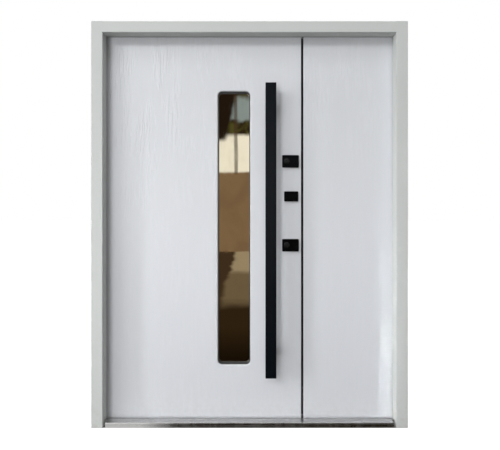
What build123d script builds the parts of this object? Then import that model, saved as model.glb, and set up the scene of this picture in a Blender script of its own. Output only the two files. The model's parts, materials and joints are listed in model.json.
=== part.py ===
from build123d import *
import os

# Leaf-and-a-half steel front door, in millimetres.
# Seen from outside, +X is to the right, +Y goes into the building and +Z is up.
# The origin is the centre of the threshold's underside.
# Both leaves open inward on hinges that lie on the inside, so the outside shows none.

# Overall size, over the outer edges of the frame
OVERALL_WIDTH = 1600.0
OVERALL_HEIGHT = 2055.0

# Pressed steel frame section
FRAME_SHEET = 2.0
BEND_RADIUS = 3.0
JAMB_FACE = 58.0
HEAD_FACE = 56.0
STOP_DEPTH = 72.0
REBATE_STEP = 20.0
RETURN_LIP = 15.0

# Leaves
LEAF_THICKNESS = 70.0
LEAF_SHEET = 2.0
LEAF_EDGE_RADIUS = 2.5
SIDE_LEAF_WIDTH = 475.6
STOP_GAP = 8.0
EDGE_GAP = 6.0
MEETING_GAP = 11.4
MEETING_TAPER = 2.0

# Threshold, a hollow section that steps down from its upstand to a ledge, which stops the leaves, and a tread
UPSTAND_HEIGHT = 26.0
UPSTAND_DEPTH = 53.0
LEDGE_HEIGHT = 18.0
TREAD_HEIGHT = 8.0
THRESHOLD_SETBACK = 2.0
THRESHOLD_WALL = 2.5
THRESHOLD_NOSE_RADIUS = 1.5
NOSE_END_GAP = 12.3
NOSE_NOTCH_DEPTH = 36.0

# Rubber seals
SEAL_WIDTH = 10.0
SEAL_THICKNESS = 3.0
SEAL_ROUNDING = 1.3
SILL_SEAL_WIDTH = 7.0
MEETING_SEAL_SKIN = 1.5
MEETING_SEAL_INSET = 2.5
MEETING_BULB_WIDTH = 12.0
MEETING_BULB_THICKNESS = 4.8
MEETING_SEAL_ROOM = 0.5

# Wall anchors through the rebate
ANCHOR_HOLE_RADIUS = 5.5
ANCHOR_COUNT = 4
ANCHOR_LOWEST = 300.0
ANCHOR_SPACING = 466.0

# Hinges
HINGE_COUNT = 3
HINGE_END_DISTANCE = 230.0
HINGE_LENGTH = 120.0
HINGE_WIDTH = 36.0
HINGE_PLATE = 3.0
BARREL_RADIUS = 9.0
PIN_RADIUS = 5.0
PIN_CLEARANCE = 0.1
PIN_HEAD = 4.0
KNUCKLE_GAP = 0.5

# Glass slot in the main leaf
SLOT_WIDTH = 168.6
SLOT_LENGTH = 1424.0
SLOT_CORNER = 23.0
SLOT_EDGE_RADIUS = 6.0
SLOT_FROM_MEETING_EDGE = 265.1
SLOT_BELOW_MIDDLE = 7.0
GLASS_RECESS = 26.0
PANE = 5.0
PANE_GAP = 14.0
GASKET = 3.0
SIDE_SIGHTLINE = 4.8
END_SIGHTLINE = 9.0
TRIM_WALL = 3.0
TRIM_CLEARANCE = 0.2
GLASS_CLEARANCE = 1.0

# Pull bar
PULL_LENGTH = 1500.0
PULL_WIDTH = 55.0
PULL_DEPTH = 25.0
PULL_PROJECTION = 74.0
PULL_FROM_MEETING_EDGE = 160.4
PULL_BELOW_MIDDLE = 16.0
PULL_EDGE_RADIUS = 1.5
POST_WIDTH = 30.0
POST_HEIGHT = 40.0
POST_FROM_END = 125.0

# Lock plates, cylinders and inside furniture
LOWER_LOCK_HEIGHT = 917.2
BLANK_ABOVE_LOWER_LOCK = 253.7
UPPER_LOCK_ABOVE_BLANK = 182.2
LOCK_FROM_MEETING_EDGE = 56.4
BLANK_FROM_MEETING_EDGE = 52.8
LOCK_PLATE_WIDTH = 86.0
LOCK_PLATE_HEIGHT = 65.0
BLANK_PLATE_WIDTH = 73.0
BLANK_PLATE_HEIGHT = 53.0
PLATE_THICKNESS = 11.0
PLATE_CORNER = 5.0
PLATE_EDGE_RADIUS = 2.0
CYLINDER_OFFSET = 20.0
CYLINDER_RADIUS = 15.5
CYLINDER_PROJECTION = 5.0
CYLINDER_RIM = 1.0
PLUG_RADIUS = 8.5
PLUG_RECESS = 2.2
KEYWAY_WIDTH = 2.4
KEYWAY_LENGTH = 9.0
TURN_LENGTH = 34.0
TURN_WIDTH = 11.0
TURN_PROJECTION = 22.0
LEVER_RADIUS = 8.5
LEVER_PROJECTION = 48.0
LEVER_LENGTH = 122.0
LEVER_BEND = 20.0

# Lock edge: faceplates with round bolts in the main leaf, strikes and flush bolts in the side leaf
FACEPLATE_WIDTH = 24.0
FACEPLATE_LENGTH = 170.0
FACEPLATE_CLEARANCE = 0.2
BOLT_RADIUS = 9.0
BOLT_SPACING = 70.0
BOLT_LENGTH = 40.0
BOLT_CLEARANCE = 0.2
STRIKE_HOLE_RADIUS = 10.5
STRIKE_POCKET = 24.0
FLUSH_BOLT_LENGTH = 200.0
FLUSH_BOLT_FROM_END = 140.0

# Planes and lines that the pieces share
FRAME_DEPTH = STOP_DEPTH + STOP_GAP + LEAF_THICKNESS
FRONT = -FRAME_DEPTH / 2
BACK = FRAME_DEPTH / 2
STOP_BACK = FRONT + STOP_DEPTH
LEAF_FRONT = STOP_BACK + STOP_GAP
HALF_WIDTH = OVERALL_WIDTH / 2
REVEAL_X = HALF_WIDTH - JAMB_FACE
REBATE_X = REVEAL_X + REBATE_STEP
HEAD_REVEAL = OVERALL_HEIGHT - HEAD_FACE
HEAD_REBATE = HEAD_REVEAL + REBATE_STEP
LEAF_BOTTOM = TREAD_HEIGHT + EDGE_GAP
LEAF_TOP = HEAD_REBATE - EDGE_GAP
LEAF_MIDDLE = (LEAF_BOTTOM + LEAF_TOP) / 2
HINGE_EDGE = REBATE_X - EDGE_GAP
SIDE_MEETING_X = HINGE_EDGE - SIDE_LEAF_WIDTH
MAIN_MEETING_X = SIDE_MEETING_X - MEETING_GAP
PIVOT_X = REBATE_X - EDGE_GAP / 2
PIVOT_Y = BACK + BARREL_RADIUS
SLOT_X = MAIN_MEETING_X - SLOT_FROM_MEETING_EDGE - SLOT_WIDTH / 2
SLOT_Z = LEAF_MIDDLE - SLOT_BELOW_MIDDLE
PULL_X = MAIN_MEETING_X - PULL_FROM_MEETING_EDGE
PULL_Z = LEAF_MIDDLE - PULL_BELOW_MIDDLE
LOCK_X = MAIN_MEETING_X - LOCK_FROM_MEETING_EDGE
BLANK_X = MAIN_MEETING_X - BLANK_FROM_MEETING_EDGE
CYLINDER_X = LOCK_X - CYLINDER_OFFSET
BLANK_HEIGHT = LOWER_LOCK_HEIGHT + BLANK_ABOVE_LOWER_LOCK
UPPER_LOCK_HEIGHT = BLANK_HEIGHT + UPPER_LOCK_ABOVE_BLANK
LOCK_HEIGHTS = (UPPER_LOCK_HEIGHT, LOWER_LOCK_HEIGHT)
LOCK_LINE_Y = (LEAF_FRONT + BACK) / 2
OUTWARD = -1
INWARD = 1


def box_between(x, y, z):
    """A box from a low and a high value on each axis."""
    return Pos(sum(x) / 2, sum(y) / 2, sum(z) / 2) * Box(x[1] - x[0], y[1] - y[0], z[1] - z[0])


def write(name, *solids):
    """Write one node, whose solids don't touch where there are several."""
    shape = solids[0] if len(solids) == 1 else Compound(children=list(solids))
    export_step(shape, f"parts/{name}.step")


# Frame

def frame_path(edge, face):
    """The visible line of the pressed section: lip, face, reveal, stop, rebate, inside face, lip."""
    reveal = edge - face
    rebate = reveal + REBATE_STEP
    corners = [
        (edge, FRONT + RETURN_LIP),
        (edge, FRONT),
        (reveal, FRONT),
        (reveal, STOP_BACK),
        (rebate, STOP_BACK),
        (rebate, BACK),
        (edge, BACK),
        (edge, BACK - RETURN_LIP),
    ]
    return FilletPolyline(*corners, radius=BEND_RADIUS)


def folded_section(edge, face):
    """The sheet that follows the visible line, open towards the wall."""
    line = frame_path(edge, face)
    return make_face(offset(line, amount=FRAME_SHEET, side=Side.RIGHT))


def filled_section(edge, face):
    """The whole area behind the visible line, which the head and threshold are coped to."""
    line = frame_path(edge, face)
    return make_face(line.edges() + Line(line @ 1, line @ 0).edges())


def make_jamb():
    """The right jamb, with a row of anchor holes through the rebate wall."""
    jamb = extrude(folded_section(HALF_WIDTH, JAMB_FACE), OVERALL_HEIGHT)
    hole = Rot(0, 90, 0) * Cylinder(ANCHOR_HOLE_RADIUS, FRAME_SHEET * 4)
    for row in range(ANCHOR_COUNT):
        height = ANCHOR_LOWEST + row * ANCHOR_SPACING
        jamb -= Pos(REBATE_X, (STOP_BACK + BACK) / 2, height) * hole
    return jamb


def jamb_envelopes():
    """Both jambs as filled masses, to cope the cross pieces."""
    right = extrude(filled_section(HALF_WIDTH, JAMB_FACE), OVERALL_HEIGHT)
    return right + mirror(right, Plane.YZ)


def make_head(envelopes):
    """The head, the same folded section laid across and coped to the jambs."""
    across = Plane(origin=(0, 0, 0), x_dir=(0, 0, 1), z_dir=(-1, 0, 0))
    section = across * folded_section(OVERALL_HEIGHT, HEAD_FACE)
    return extrude(section, REBATE_X + BEND_RADIUS, both=True) - envelopes


def make_threshold(envelopes):
    """A hollow section of three chambers: upstand in front, ledge that stops the leaves, low tread behind.

    The upstand's nose is notched at both ends, so it stands clear of the jambs.
    """
    nose = FRONT + THRESHOLD_SETBACK
    crest = nose + UPSTAND_DEPTH
    inner = nose + NOSE_NOTCH_DEPTH
    reach = REBATE_X + BEND_RADIUS
    half = (-reach, reach)
    nose_end = REVEAL_X - NOSE_END_GAP
    wall = THRESHOLD_WALL
    body = box_between(half, (nose, crest), (0, UPSTAND_HEIGHT))
    body += box_between(half, (crest - wall, STOP_BACK), (0, LEDGE_HEIGHT))
    body += box_between(half, (STOP_BACK - wall, BACK), (0, TREAD_HEIGHT))
    top_edges = body.edges().filter_by(Axis.X).group_by(Axis.Z)[-1]
    body = fillet(top_edges, THRESHOLD_NOSE_RADIUS)
    for ends in ((-reach, -nose_end), (nose_end, reach)):
        body -= box_between(ends, (nose, inner), (wall, UPSTAND_HEIGHT))
    body -= box_between((wall - nose_end, nose_end - wall), (nose + wall, crest - wall), (wall, UPSTAND_HEIGHT - wall))
    body -= box_between(half, (inner + wall, crest - wall), (wall, UPSTAND_HEIGHT - wall))
    body -= box_between(half, (crest, STOP_BACK - wall), (wall, LEDGE_HEIGHT - wall))
    body -= box_between(half, (STOP_BACK, BACK - wall), (wall, TREAD_HEIGHT - wall))
    return body - envelopes


def seal_strip(width, length):
    """A rubber strip lying in XZ along X, its rounded side towards the leaf."""
    section = Rectangle(SEAL_THICKNESS, width, align=(Align.MIN, Align.CENTER))
    rounded = section.vertices().group_by(Axis.X)[-1]
    section = fillet(rounded, SEAL_ROUNDING)
    along = Plane(origin=(-length / 2, 0, 0), x_dir=(0, 1, 0), z_dir=(1, 0, 0))
    return extrude(along * section, length)


def make_frame_seals():
    """Seals on the back of the stop: jambs, head and ledge."""
    across = (REVEAL_X + HINGE_EDGE) / 2
    head_z = (HEAD_REVEAL + LEAF_TOP) / 2
    head_length = 2 * across + SEAL_WIDTH
    head_seal = Pos(0, STOP_BACK, head_z) * seal_strip(SEAL_WIDTH, head_length)
    low = LEDGE_HEIGHT
    high = head_z - SEAL_WIDTH / 2
    upright = Rot(0, 90, 0) * seal_strip(SEAL_WIDTH, high - low)
    right_seal = Pos(across, STOP_BACK, (low + high) / 2) * upright
    sill_z = (TREAD_HEIGHT + LEDGE_HEIGHT) / 2
    sill_seal = Pos(0, STOP_BACK, sill_z) * seal_strip(SILL_SEAL_WIDTH, 2 * REVEAL_X)
    return head_seal, right_seal, sill_seal


# Hinges

def hinge_plate(direction):
    """The flat of one half, on the inside face."""
    near = PIVOT_X + direction * (BARREL_RADIUS + KNUCKLE_GAP)
    far = PIVOT_X + direction * HINGE_WIDTH
    half = HINGE_LENGTH / 2
    return box_between(sorted((near, far)), (BACK, BACK + HINGE_PLATE), (-half, half))


def knuckle(direction, low, high):
    """A rolled knuckle with its tongue, which runs into the plate."""
    barrel = Pos(PIVOT_X, PIVOT_Y, (low + high) / 2) * Cylinder(BARREL_RADIUS, high - low)
    reach = PIVOT_X + direction * (BARREL_RADIUS + 2 * KNUCKLE_GAP)
    tongue = box_between(sorted((PIVOT_X, reach)), (BACK, BACK + HINGE_PLATE), (low, high))
    bore = Pos(PIVOT_X, PIVOT_Y, (low + high) / 2) * Cylinder(PIN_RADIUS + PIN_CLEARANCE, high - low)
    return barrel + tongue - bore


def make_hinge():
    """One right-hand hinge about z = 0: frame half, leaf half and pin."""
    half = HINGE_LENGTH / 2
    sixth = HINGE_LENGTH / 6
    frame_half = hinge_plate(1) + knuckle(1, -half, -sixth - KNUCKLE_GAP)
    frame_half += knuckle(1, sixth + KNUCKLE_GAP, half)
    leaf_half = hinge_plate(-1) + knuckle(-1, -sixth, sixth)
    pin = Pos(PIVOT_X, PIVOT_Y, 0) * Cylinder(PIN_RADIUS, HINGE_LENGTH)
    head = Pos(PIVOT_X, PIVOT_Y, half + PIN_HEAD / 2) * Cylinder(BARREL_RADIUS, PIN_HEAD)
    head = fillet(head.edges().sort_by(Axis.Z)[-1], PIN_HEAD / 3)
    return frame_half, leaf_half, pin + head


def hinge_heights():
    """Hinge centres, spread evenly between the end distances."""
    low = LEAF_BOTTOM + HINGE_END_DISTANCE
    step = (LEAF_TOP - HINGE_END_DISTANCE - low) / (HINGE_COUNT - 1)
    return [low + step * i for i in range(HINGE_COUNT)]


def write_hinges():
    """The side leaf's hinges on the right, and their mirror image for the main leaf."""
    for name, solid in zip(("frame_halves", "leaf_halves", "pins"), make_hinge()):
        right = [Pos(0, 0, height) * solid for height in hinge_heights()]
        write(f"side_hinge_{name}", *right)
        write(f"main_hinge_{name}", *[mirror(piece, Plane.YZ) for piece in right])


# Leaves

def meeting_line(meeting_x, toward, y):
    """Where the meeting edge lies at a depth: it tapers back towards the inside."""
    return meeting_x - toward * MEETING_TAPER * (y - LEAF_FRONT) / LEAF_THICKNESS


def roll_slot_edge(solid, radius):
    """Round the front edge of the slot that's cut through a leaf piece."""
    front_face = solid.faces().sort_by(Axis.Y)[0]
    return fillet(front_face.inner_wires()[0].edges(), radius)


def make_leaf(hinge_x, meeting_x, toward, slotted):
    """Pan, lid and core of a leaf: a folded steel tray closed by a flat sheet over insulation.

    A slot is lined by the tray, whose skin is rolled into it as a sleeve.
    """
    corners = [
        (hinge_x, LEAF_FRONT),
        (meeting_x, LEAF_FRONT),
        (meeting_line(meeting_x, toward, BACK), BACK),
        (hinge_x, BACK),
    ]
    plan = make_face(Polyline(*corners, close=True))
    height = LEAF_TOP - LEAF_BOTTOM
    body = Pos(0, 0, LEAF_BOTTOM) * extrude(plan, height)
    inner_plan = offset(plan, -LEAF_SHEET, kind=Kind.INTERSECTION)
    core = Pos(0, 0, LEAF_BOTTOM + LEAF_SHEET) * extrude(inner_plan, height - 2 * LEAF_SHEET)
    wide = (-HALF_WIDTH, HALF_WIDTH)
    tall = (0, OVERALL_HEIGHT)
    lid = body & box_between(wide, (BACK - LEAF_SHEET, BACK), tall)
    pan = body & box_between(wide, (LEAF_FRONT, BACK - LEAF_SHEET), tall)
    pan = fillet(pan.faces().sort_by(Axis.Y)[0].edges(), LEAF_EDGE_RADIUS)
    if slotted:
        slot = slot_prism(0, LEAF_FRONT - LEAF_SHEET, BACK + LEAF_SHEET)
        sleeve = slot_prism(-LEAF_SHEET, LEAF_FRONT - LEAF_SHEET, BACK + LEAF_SHEET)
        pan = roll_slot_edge(pan - slot, SLOT_EDGE_RADIUS)
        core = roll_slot_edge(core - sleeve, SLOT_EDGE_RADIUS - LEAF_SHEET)
        lid -= slot
    return pan - core, lid, core


def edge_box(meeting_x, toward, width, low, high):
    """A box across the sheet of the meeting edge, in the middle of its thickness."""
    front = LOCK_LINE_Y - width / 2
    back = LOCK_LINE_Y + width / 2
    outside = meeting_x + toward * LEAF_SHEET
    inside = meeting_line(meeting_x, toward, back) - toward * LEAF_SHEET * 2
    return box_between(sorted((outside, inside)), (front, back), (low, high))


def let_in(pan, core, meeting_x, toward, length, height):
    """A plate as thick as the sheet, let into the meeting edge: the cut pan and the plate."""
    low = height - length / 2
    high = height + length / 2
    cut = edge_box(meeting_x, toward, FACEPLATE_WIDTH, low, high)
    gap = FACEPLATE_CLEARANCE
    plate = pan & edge_box(meeting_x, toward, FACEPLATE_WIDTH - 2 * gap, low + gap, high - gap)
    return pan - (cut - core), plate


def meeting_seal(plates):
    """A rubber edge strip on the side leaf, cut round its plates, with a bulb behind that closes the gap."""
    front = LEAF_FRONT + MEETING_SEAL_INSET
    back = BACK - MEETING_SEAL_INSET
    bulb = back - MEETING_BULB_WIDTH
    depths = (front, front, bulb, bulb, back, back)
    proud = (0, MEETING_SEAL_SKIN, MEETING_SEAL_SKIN, MEETING_BULB_THICKNESS, MEETING_BULB_THICKNESS, 0)
    corners = [(meeting_line(SIDE_MEETING_X, -1, y) - t, y) for y, t in zip(depths, proud)]
    section = make_face(Polyline(*corners, close=True))
    strip = Pos(0, 0, LEAF_BOTTOM) * extrude(section, LEAF_TOP - LEAF_BOTTOM)
    for length, height in plates:
        half = length / 2 + MEETING_SEAL_ROOM
        width = FACEPLATE_WIDTH + 2 * MEETING_SEAL_ROOM
        strip -= edge_box(SIDE_MEETING_X, -1, width, height - half, height + half)
    return strip


def bolt_heights(lock_height):
    """The two bolts of a lock."""
    return (lock_height - BOLT_SPACING / 2, lock_height + BOLT_SPACING / 2)


# Glazing

def slot_prism(inset, front, back):
    """The slot's outline drawn in by an inset, between two depths."""
    corner = max(SLOT_CORNER - inset, TRIM_CLEARANCE)
    outline = RectangleRounded(SLOT_WIDTH - 2 * inset, SLOT_LENGTH - 2 * inset, corner)
    return extrude(Pos(SLOT_X, front, SLOT_Z) * (Plane.XZ * outline), back - front, dir=(0, 1, 0))


def slot_ring(outer, inner, front, back):
    """A ring round the slot between two insets."""
    return slot_prism(outer, front, back) - slot_prism(inner, front, back)


def sight_ring(outer, front, back):
    """A ring from an inset to the sight line, which is wider at the ends of the slot than at its sides."""
    corner = SLOT_CORNER - SIDE_SIGHTLINE
    outline = RectangleRounded(SLOT_WIDTH - 2 * SIDE_SIGHTLINE, SLOT_LENGTH - 2 * END_SIGHTLINE, corner)
    opening = extrude(Pos(SLOT_X, front, SLOT_Z) * (Plane.XZ * outline), back - front, dir=(0, 1, 0))
    return slot_prism(outer, front, back) - opening


def write_glazing():
    """From outside to inside: trim, gasket, pane, spacer, pane, gasket, trim."""
    outer_glass = LEAF_FRONT + GLASS_RECESS
    spacer_front = outer_glass + PANE
    inner_glass = spacer_front + PANE_GAP
    glass_back = inner_glass + PANE
    seat_front = outer_glass - GASKET
    seat_back = glass_back + GASKET
    wall = TRIM_CLEARANCE + TRIM_WALL
    trim = slot_ring(TRIM_CLEARANCE, wall, LEAF_FRONT + SLOT_EDGE_RADIUS, seat_front)
    flange = sight_ring(TRIM_CLEARANCE, seat_front - TRIM_WALL, seat_front)
    write("slot_trim_outside", trim + flange)
    trim = slot_ring(TRIM_CLEARANCE, wall, seat_back, BACK)
    flange = sight_ring(TRIM_CLEARANCE, seat_back, seat_back + TRIM_WALL)
    write("slot_trim_inside", trim + flange)
    outer_gasket = sight_ring(GLASS_CLEARANCE, seat_front, outer_glass)
    inner_gasket = sight_ring(GLASS_CLEARANCE, glass_back, seat_back)
    write("slot_gaskets", outer_gasket, inner_gasket)
    write("glass_outer_pane", slot_prism(GLASS_CLEARANCE, outer_glass, spacer_front))
    write("glass_spacer", sight_ring(GLASS_CLEARANCE, spacer_front, inner_glass))
    write("glass_inner_pane", slot_prism(GLASS_CLEARANCE, inner_glass, glass_back))


# Door furniture

def facing(x, z, side):
    """A plane on the outer or inner face of the leaf whose normal points away from the leaf."""
    face_y = LEAF_FRONT if side == OUTWARD else BACK
    return Plane(origin=(x, face_y, z), x_dir=(-side, 0, 0), z_dir=(0, side, 0))


def lock_plate(x, z, width, height, side):
    """A rectangular plate with round corners and a soft front edge."""
    block = extrude(RectangleRounded(width, height, PLATE_CORNER), PLATE_THICKNESS)
    block = fillet(block.faces().sort_by(Axis.Z)[-1].edges(), PLATE_EDGE_RADIUS)
    return facing(x, z, side) * block


def rose():
    """A turned disc on a plate, domed from its rim to its full projection."""
    disc = Cylinder(CYLINDER_RADIUS, CYLINDER_PROJECTION, align=(Align.CENTER, Align.CENTER, Align.MIN))
    rise = CYLINDER_PROJECTION - CYLINDER_RIM
    dome = (CYLINDER_RADIUS**2 + rise**2) / (2 * rise)
    return disc & Pos(0, 0, CYLINDER_PROJECTION - dome) * Sphere(dome)


def lock_cylinder(x, z):
    """The outer end of a key cylinder: a rose with a sunk plug and its keyway."""
    plug_floor = CYLINDER_PROJECTION - PLUG_RECESS
    bottom = (Align.CENTER, Align.CENTER, Align.MIN)
    body = rose() - Pos(0, 0, plug_floor) * Cylinder(PLUG_RADIUS, CYLINDER_PROJECTION, align=bottom)
    keyway = Box(KEYWAY_WIDTH, KEYWAY_LENGTH, CYLINDER_PROJECTION, align=bottom)
    body -= Pos(0, 0, plug_floor / 3) * keyway
    return facing(x, z, OUTWARD) * Pos(0, 0, PLATE_THICKNESS) * body


def thumb_turn(x, z):
    """A rose with an upright oval grip."""
    grip = extrude(SlotOverall(TURN_LENGTH, TURN_WIDTH, rotation=90), TURN_PROJECTION)
    grip = fillet(grip.faces().sort_by(Axis.Z)[-1].edges(), PLATE_EDGE_RADIUS)
    return facing(x, z, INWARD) * Pos(0, 0, PLATE_THICKNESS) * (rose() + grip)


def lever(x, z):
    """A round lever: out of its plate, then along the leaf towards the hinges."""
    base = Vector(x, BACK + PLATE_THICKNESS, z)
    elbow = base + Vector(0, LEVER_PROJECTION, 0)
    tip = elbow + Vector(-LEVER_LENGTH, 0, 0)
    path = FilletPolyline(base, elbow, tip, radius=LEVER_BEND)
    arm = sweep(Plane(origin=base, z_dir=(0, 1, 0)) * Circle(LEVER_RADIUS), path=path)
    arm = fillet(arm.edges().sort_by(Axis.X)[0], LEVER_RADIUS / 3)
    return arm + Plane(origin=base, z_dir=(0, 1, 0)) * rose()


def write_furniture():
    """Pull bar on two posts, lock plates outside, and plates, turns and lever inside."""
    bar_front = LEAF_FRONT - PULL_PROJECTION
    bar_back = bar_front + PULL_DEPTH
    across = (PULL_X - PULL_WIDTH / 2, PULL_X + PULL_WIDTH / 2)
    along = (PULL_Z - PULL_LENGTH / 2, PULL_Z + PULL_LENGTH / 2)
    bar = box_between(across, (bar_front, bar_back), along)
    write("pull_bar", fillet(bar.edges(), PULL_EDGE_RADIUS))
    posts = []
    for height in (along[0] + POST_FROM_END, along[1] - POST_FROM_END):
        wide = (PULL_X - POST_WIDTH / 2, PULL_X + POST_WIDTH / 2)
        tall = (height - POST_HEIGHT / 2, height + POST_HEIGHT / 2)
        post = box_between(wide, (bar_back, LEAF_FRONT), tall)
        posts.append(fillet(post.edges().filter_by(Axis.Y), PULL_EDGE_RADIUS))
    write("pull_posts", *posts)
    locks = (LOCK_X, LOCK_PLATE_WIDTH, LOCK_PLATE_HEIGHT)
    blanks = (BLANK_X, BLANK_PLATE_WIDTH, BLANK_PLATE_HEIGHT)
    rows = [
        ("upper_lock_plate", "inside_upper_plate", UPPER_LOCK_HEIGHT, locks),
        ("middle_blank_plate", "inside_middle_plate", BLANK_HEIGHT, blanks),
        ("lower_lock_plate", "inside_lower_plate", LOWER_LOCK_HEIGHT, locks),
    ]
    for outside, inside, height, (x, plate_width, plate_height) in rows:
        write(outside, lock_plate(x, height, plate_width, plate_height, OUTWARD))
        write(inside, lock_plate(x, height, plate_width, plate_height, INWARD))
    write("lock_cylinders", *[lock_cylinder(CYLINDER_X, height) for height in LOCK_HEIGHTS])
    write("inside_thumb_turns", *[thumb_turn(CYLINDER_X, height) for height in LOCK_HEIGHTS])
    write("inside_lever", lever(BLANK_X, BLANK_HEIGHT))


def write_main_leaf():
    """The wide leaf, with the slot cut through it and the lock's faceplates and bolts in its edge."""
    pan, lid, core = make_leaf(-HINGE_EDGE, MAIN_MEETING_X, 1, slotted=True)
    faceplates = []
    bolts = []
    for lock_height in LOCK_HEIGHTS:
        pan, plate = let_in(pan, core, MAIN_MEETING_X, 1, FACEPLATE_LENGTH, lock_height)
        tip = meeting_line(MAIN_MEETING_X, 1, LOCK_LINE_Y)
        for height in bolt_heights(lock_height):
            place = Pos(tip - BOLT_LENGTH / 2, LOCK_LINE_Y, height) * Rot(0, 90, 0)
            bolts.append(place * Cylinder(BOLT_RADIUS, BOLT_LENGTH))
            room = Cylinder(BOLT_RADIUS + BOLT_CLEARANCE, BOLT_LENGTH + 2 * BOLT_CLEARANCE)
            plate -= place * room
            core -= place * room
        faceplates.append(plate)
    write("main_leaf_pan", pan)
    write("main_leaf_lid", lid)
    write("main_leaf_core", core)
    write("lock_faceplates", *faceplates)
    write("lock_bolts", *bolts)


def write_side_leaf():
    """The narrow leaf, with strikes for the lock's bolts and flush bolts at its ends."""
    pan, lid, core = make_leaf(HINGE_EDGE, SIDE_MEETING_X, -1, slotted=False)
    plates = []
    strikes = []
    for lock_height in LOCK_HEIGHTS:
        pan, plate = let_in(pan, core, SIDE_MEETING_X, -1, FACEPLATE_LENGTH, lock_height)
        plates.append((FACEPLATE_LENGTH, lock_height))
        for height in bolt_heights(lock_height):
            place = Pos(SIDE_MEETING_X, LOCK_LINE_Y, height) * Rot(0, 90, 0)
            pocket = place * Cylinder(STRIKE_HOLE_RADIUS, 2 * STRIKE_POCKET)
            plate -= pocket
            core -= pocket
        strikes.append(plate)
    flush_bolts = []
    for height in (LEAF_BOTTOM + FLUSH_BOLT_FROM_END, LEAF_TOP - FLUSH_BOLT_FROM_END):
        pan, plate = let_in(pan, core, SIDE_MEETING_X, -1, FLUSH_BOLT_LENGTH, height)
        plates.append((FLUSH_BOLT_LENGTH, height))
        flush_bolts.append(plate)
    write("side_leaf_pan", pan)
    write("side_leaf_lid", lid)
    write("side_leaf_core", core)
    write("strike_plates", *strikes)
    write("flush_bolt_plates", *flush_bolts)
    write("side_meeting_seal", meeting_seal(plates))


def write_frame():
    """Jambs, head, threshold and their seals."""
    jamb = make_jamb()
    envelopes = jamb_envelopes()
    write("right_jamb", jamb)
    write("left_jamb", mirror(jamb, Plane.YZ))
    write("frame_head", make_head(envelopes))
    write("threshold", make_threshold(envelopes))
    head_seal, right_seal, sill_seal = make_frame_seals()
    write("head_seal", head_seal)
    write("right_jamb_seal", right_seal)
    write("left_jamb_seal", mirror(right_seal, Plane.YZ))
    write("threshold_seal", sill_seal)


os.makedirs("parts", exist_ok=True)
write_frame()
write_hinges()
write_main_leaf()
write_glazing()
write_furniture()
write_side_leaf()
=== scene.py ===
"""Looks of a leaf-and-a-half steel front door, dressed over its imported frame.

The frame's own pieces keep their shape and get finishes; small fasteners, the tread's ribs, the soft lips
between the leaves and the flush bolts' sliders are modelled here. Lengths are in metres, in the frame's
own axes: +X to the right seen from outside, +Y into the building, +Z up.
"""

import json
import logging
import math
from dataclasses import dataclass
from enum import Enum
from typing import Any, Callable, ClassVar, Iterable, Union

import bpy
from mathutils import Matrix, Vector

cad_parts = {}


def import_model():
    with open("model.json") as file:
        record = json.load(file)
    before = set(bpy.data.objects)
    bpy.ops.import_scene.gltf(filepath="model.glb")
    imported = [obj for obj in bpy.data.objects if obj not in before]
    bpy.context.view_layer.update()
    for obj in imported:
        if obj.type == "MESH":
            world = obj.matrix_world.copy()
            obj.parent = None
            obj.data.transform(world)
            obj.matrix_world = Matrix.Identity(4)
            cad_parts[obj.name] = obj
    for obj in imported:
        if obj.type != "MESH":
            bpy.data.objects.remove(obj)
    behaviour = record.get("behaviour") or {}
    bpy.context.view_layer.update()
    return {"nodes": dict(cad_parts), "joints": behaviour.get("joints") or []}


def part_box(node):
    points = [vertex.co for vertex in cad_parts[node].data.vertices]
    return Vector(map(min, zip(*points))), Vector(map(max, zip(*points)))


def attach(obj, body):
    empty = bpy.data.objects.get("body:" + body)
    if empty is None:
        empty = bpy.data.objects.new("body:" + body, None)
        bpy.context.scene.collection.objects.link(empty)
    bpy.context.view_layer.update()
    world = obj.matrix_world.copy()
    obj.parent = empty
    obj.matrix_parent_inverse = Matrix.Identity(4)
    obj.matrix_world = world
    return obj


frame: dict[str, Any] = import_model()

Colour = tuple[float, float, float]
Place = tuple[float, float, float]
Material = bpy.types.Material
Node = bpy.types.Node
Piece = bpy.types.Object
Socket = bpy.types.NodeSocket
Tree = bpy.types.NodeTree
Source = Union[Socket, float, tuple]
PickTest = Callable[[Vector, Vector], bool]
Painter = Callable[["NodeSheet", Socket], Socket]

LOG = logging.getLogger("front_door")


class Body(Enum):
    """The moving groups of the frame."""

    FRAME = "frame"
    MAIN_LEAF = "main_leaf"
    SIDE_LEAF = "side_leaf"


class Drive(Enum):
    """The recess in a screw's head."""

    CROSS = "cross"
    HEX = "hex"


class Facing(Enum):
    """Which way a fastener's head looks, as a turn of one that looks up."""

    INSIDE = (-math.pi / 2, 0.0, 0.0)
    RIGHT = (0.0, math.pi / 2, 0.0)
    LEFT = (0.0, -math.pi / 2, 0.0)
    UP = (0.0, 0.0, 0.0)
    DOWN = (math.pi, 0.0, 0.0)


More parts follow.
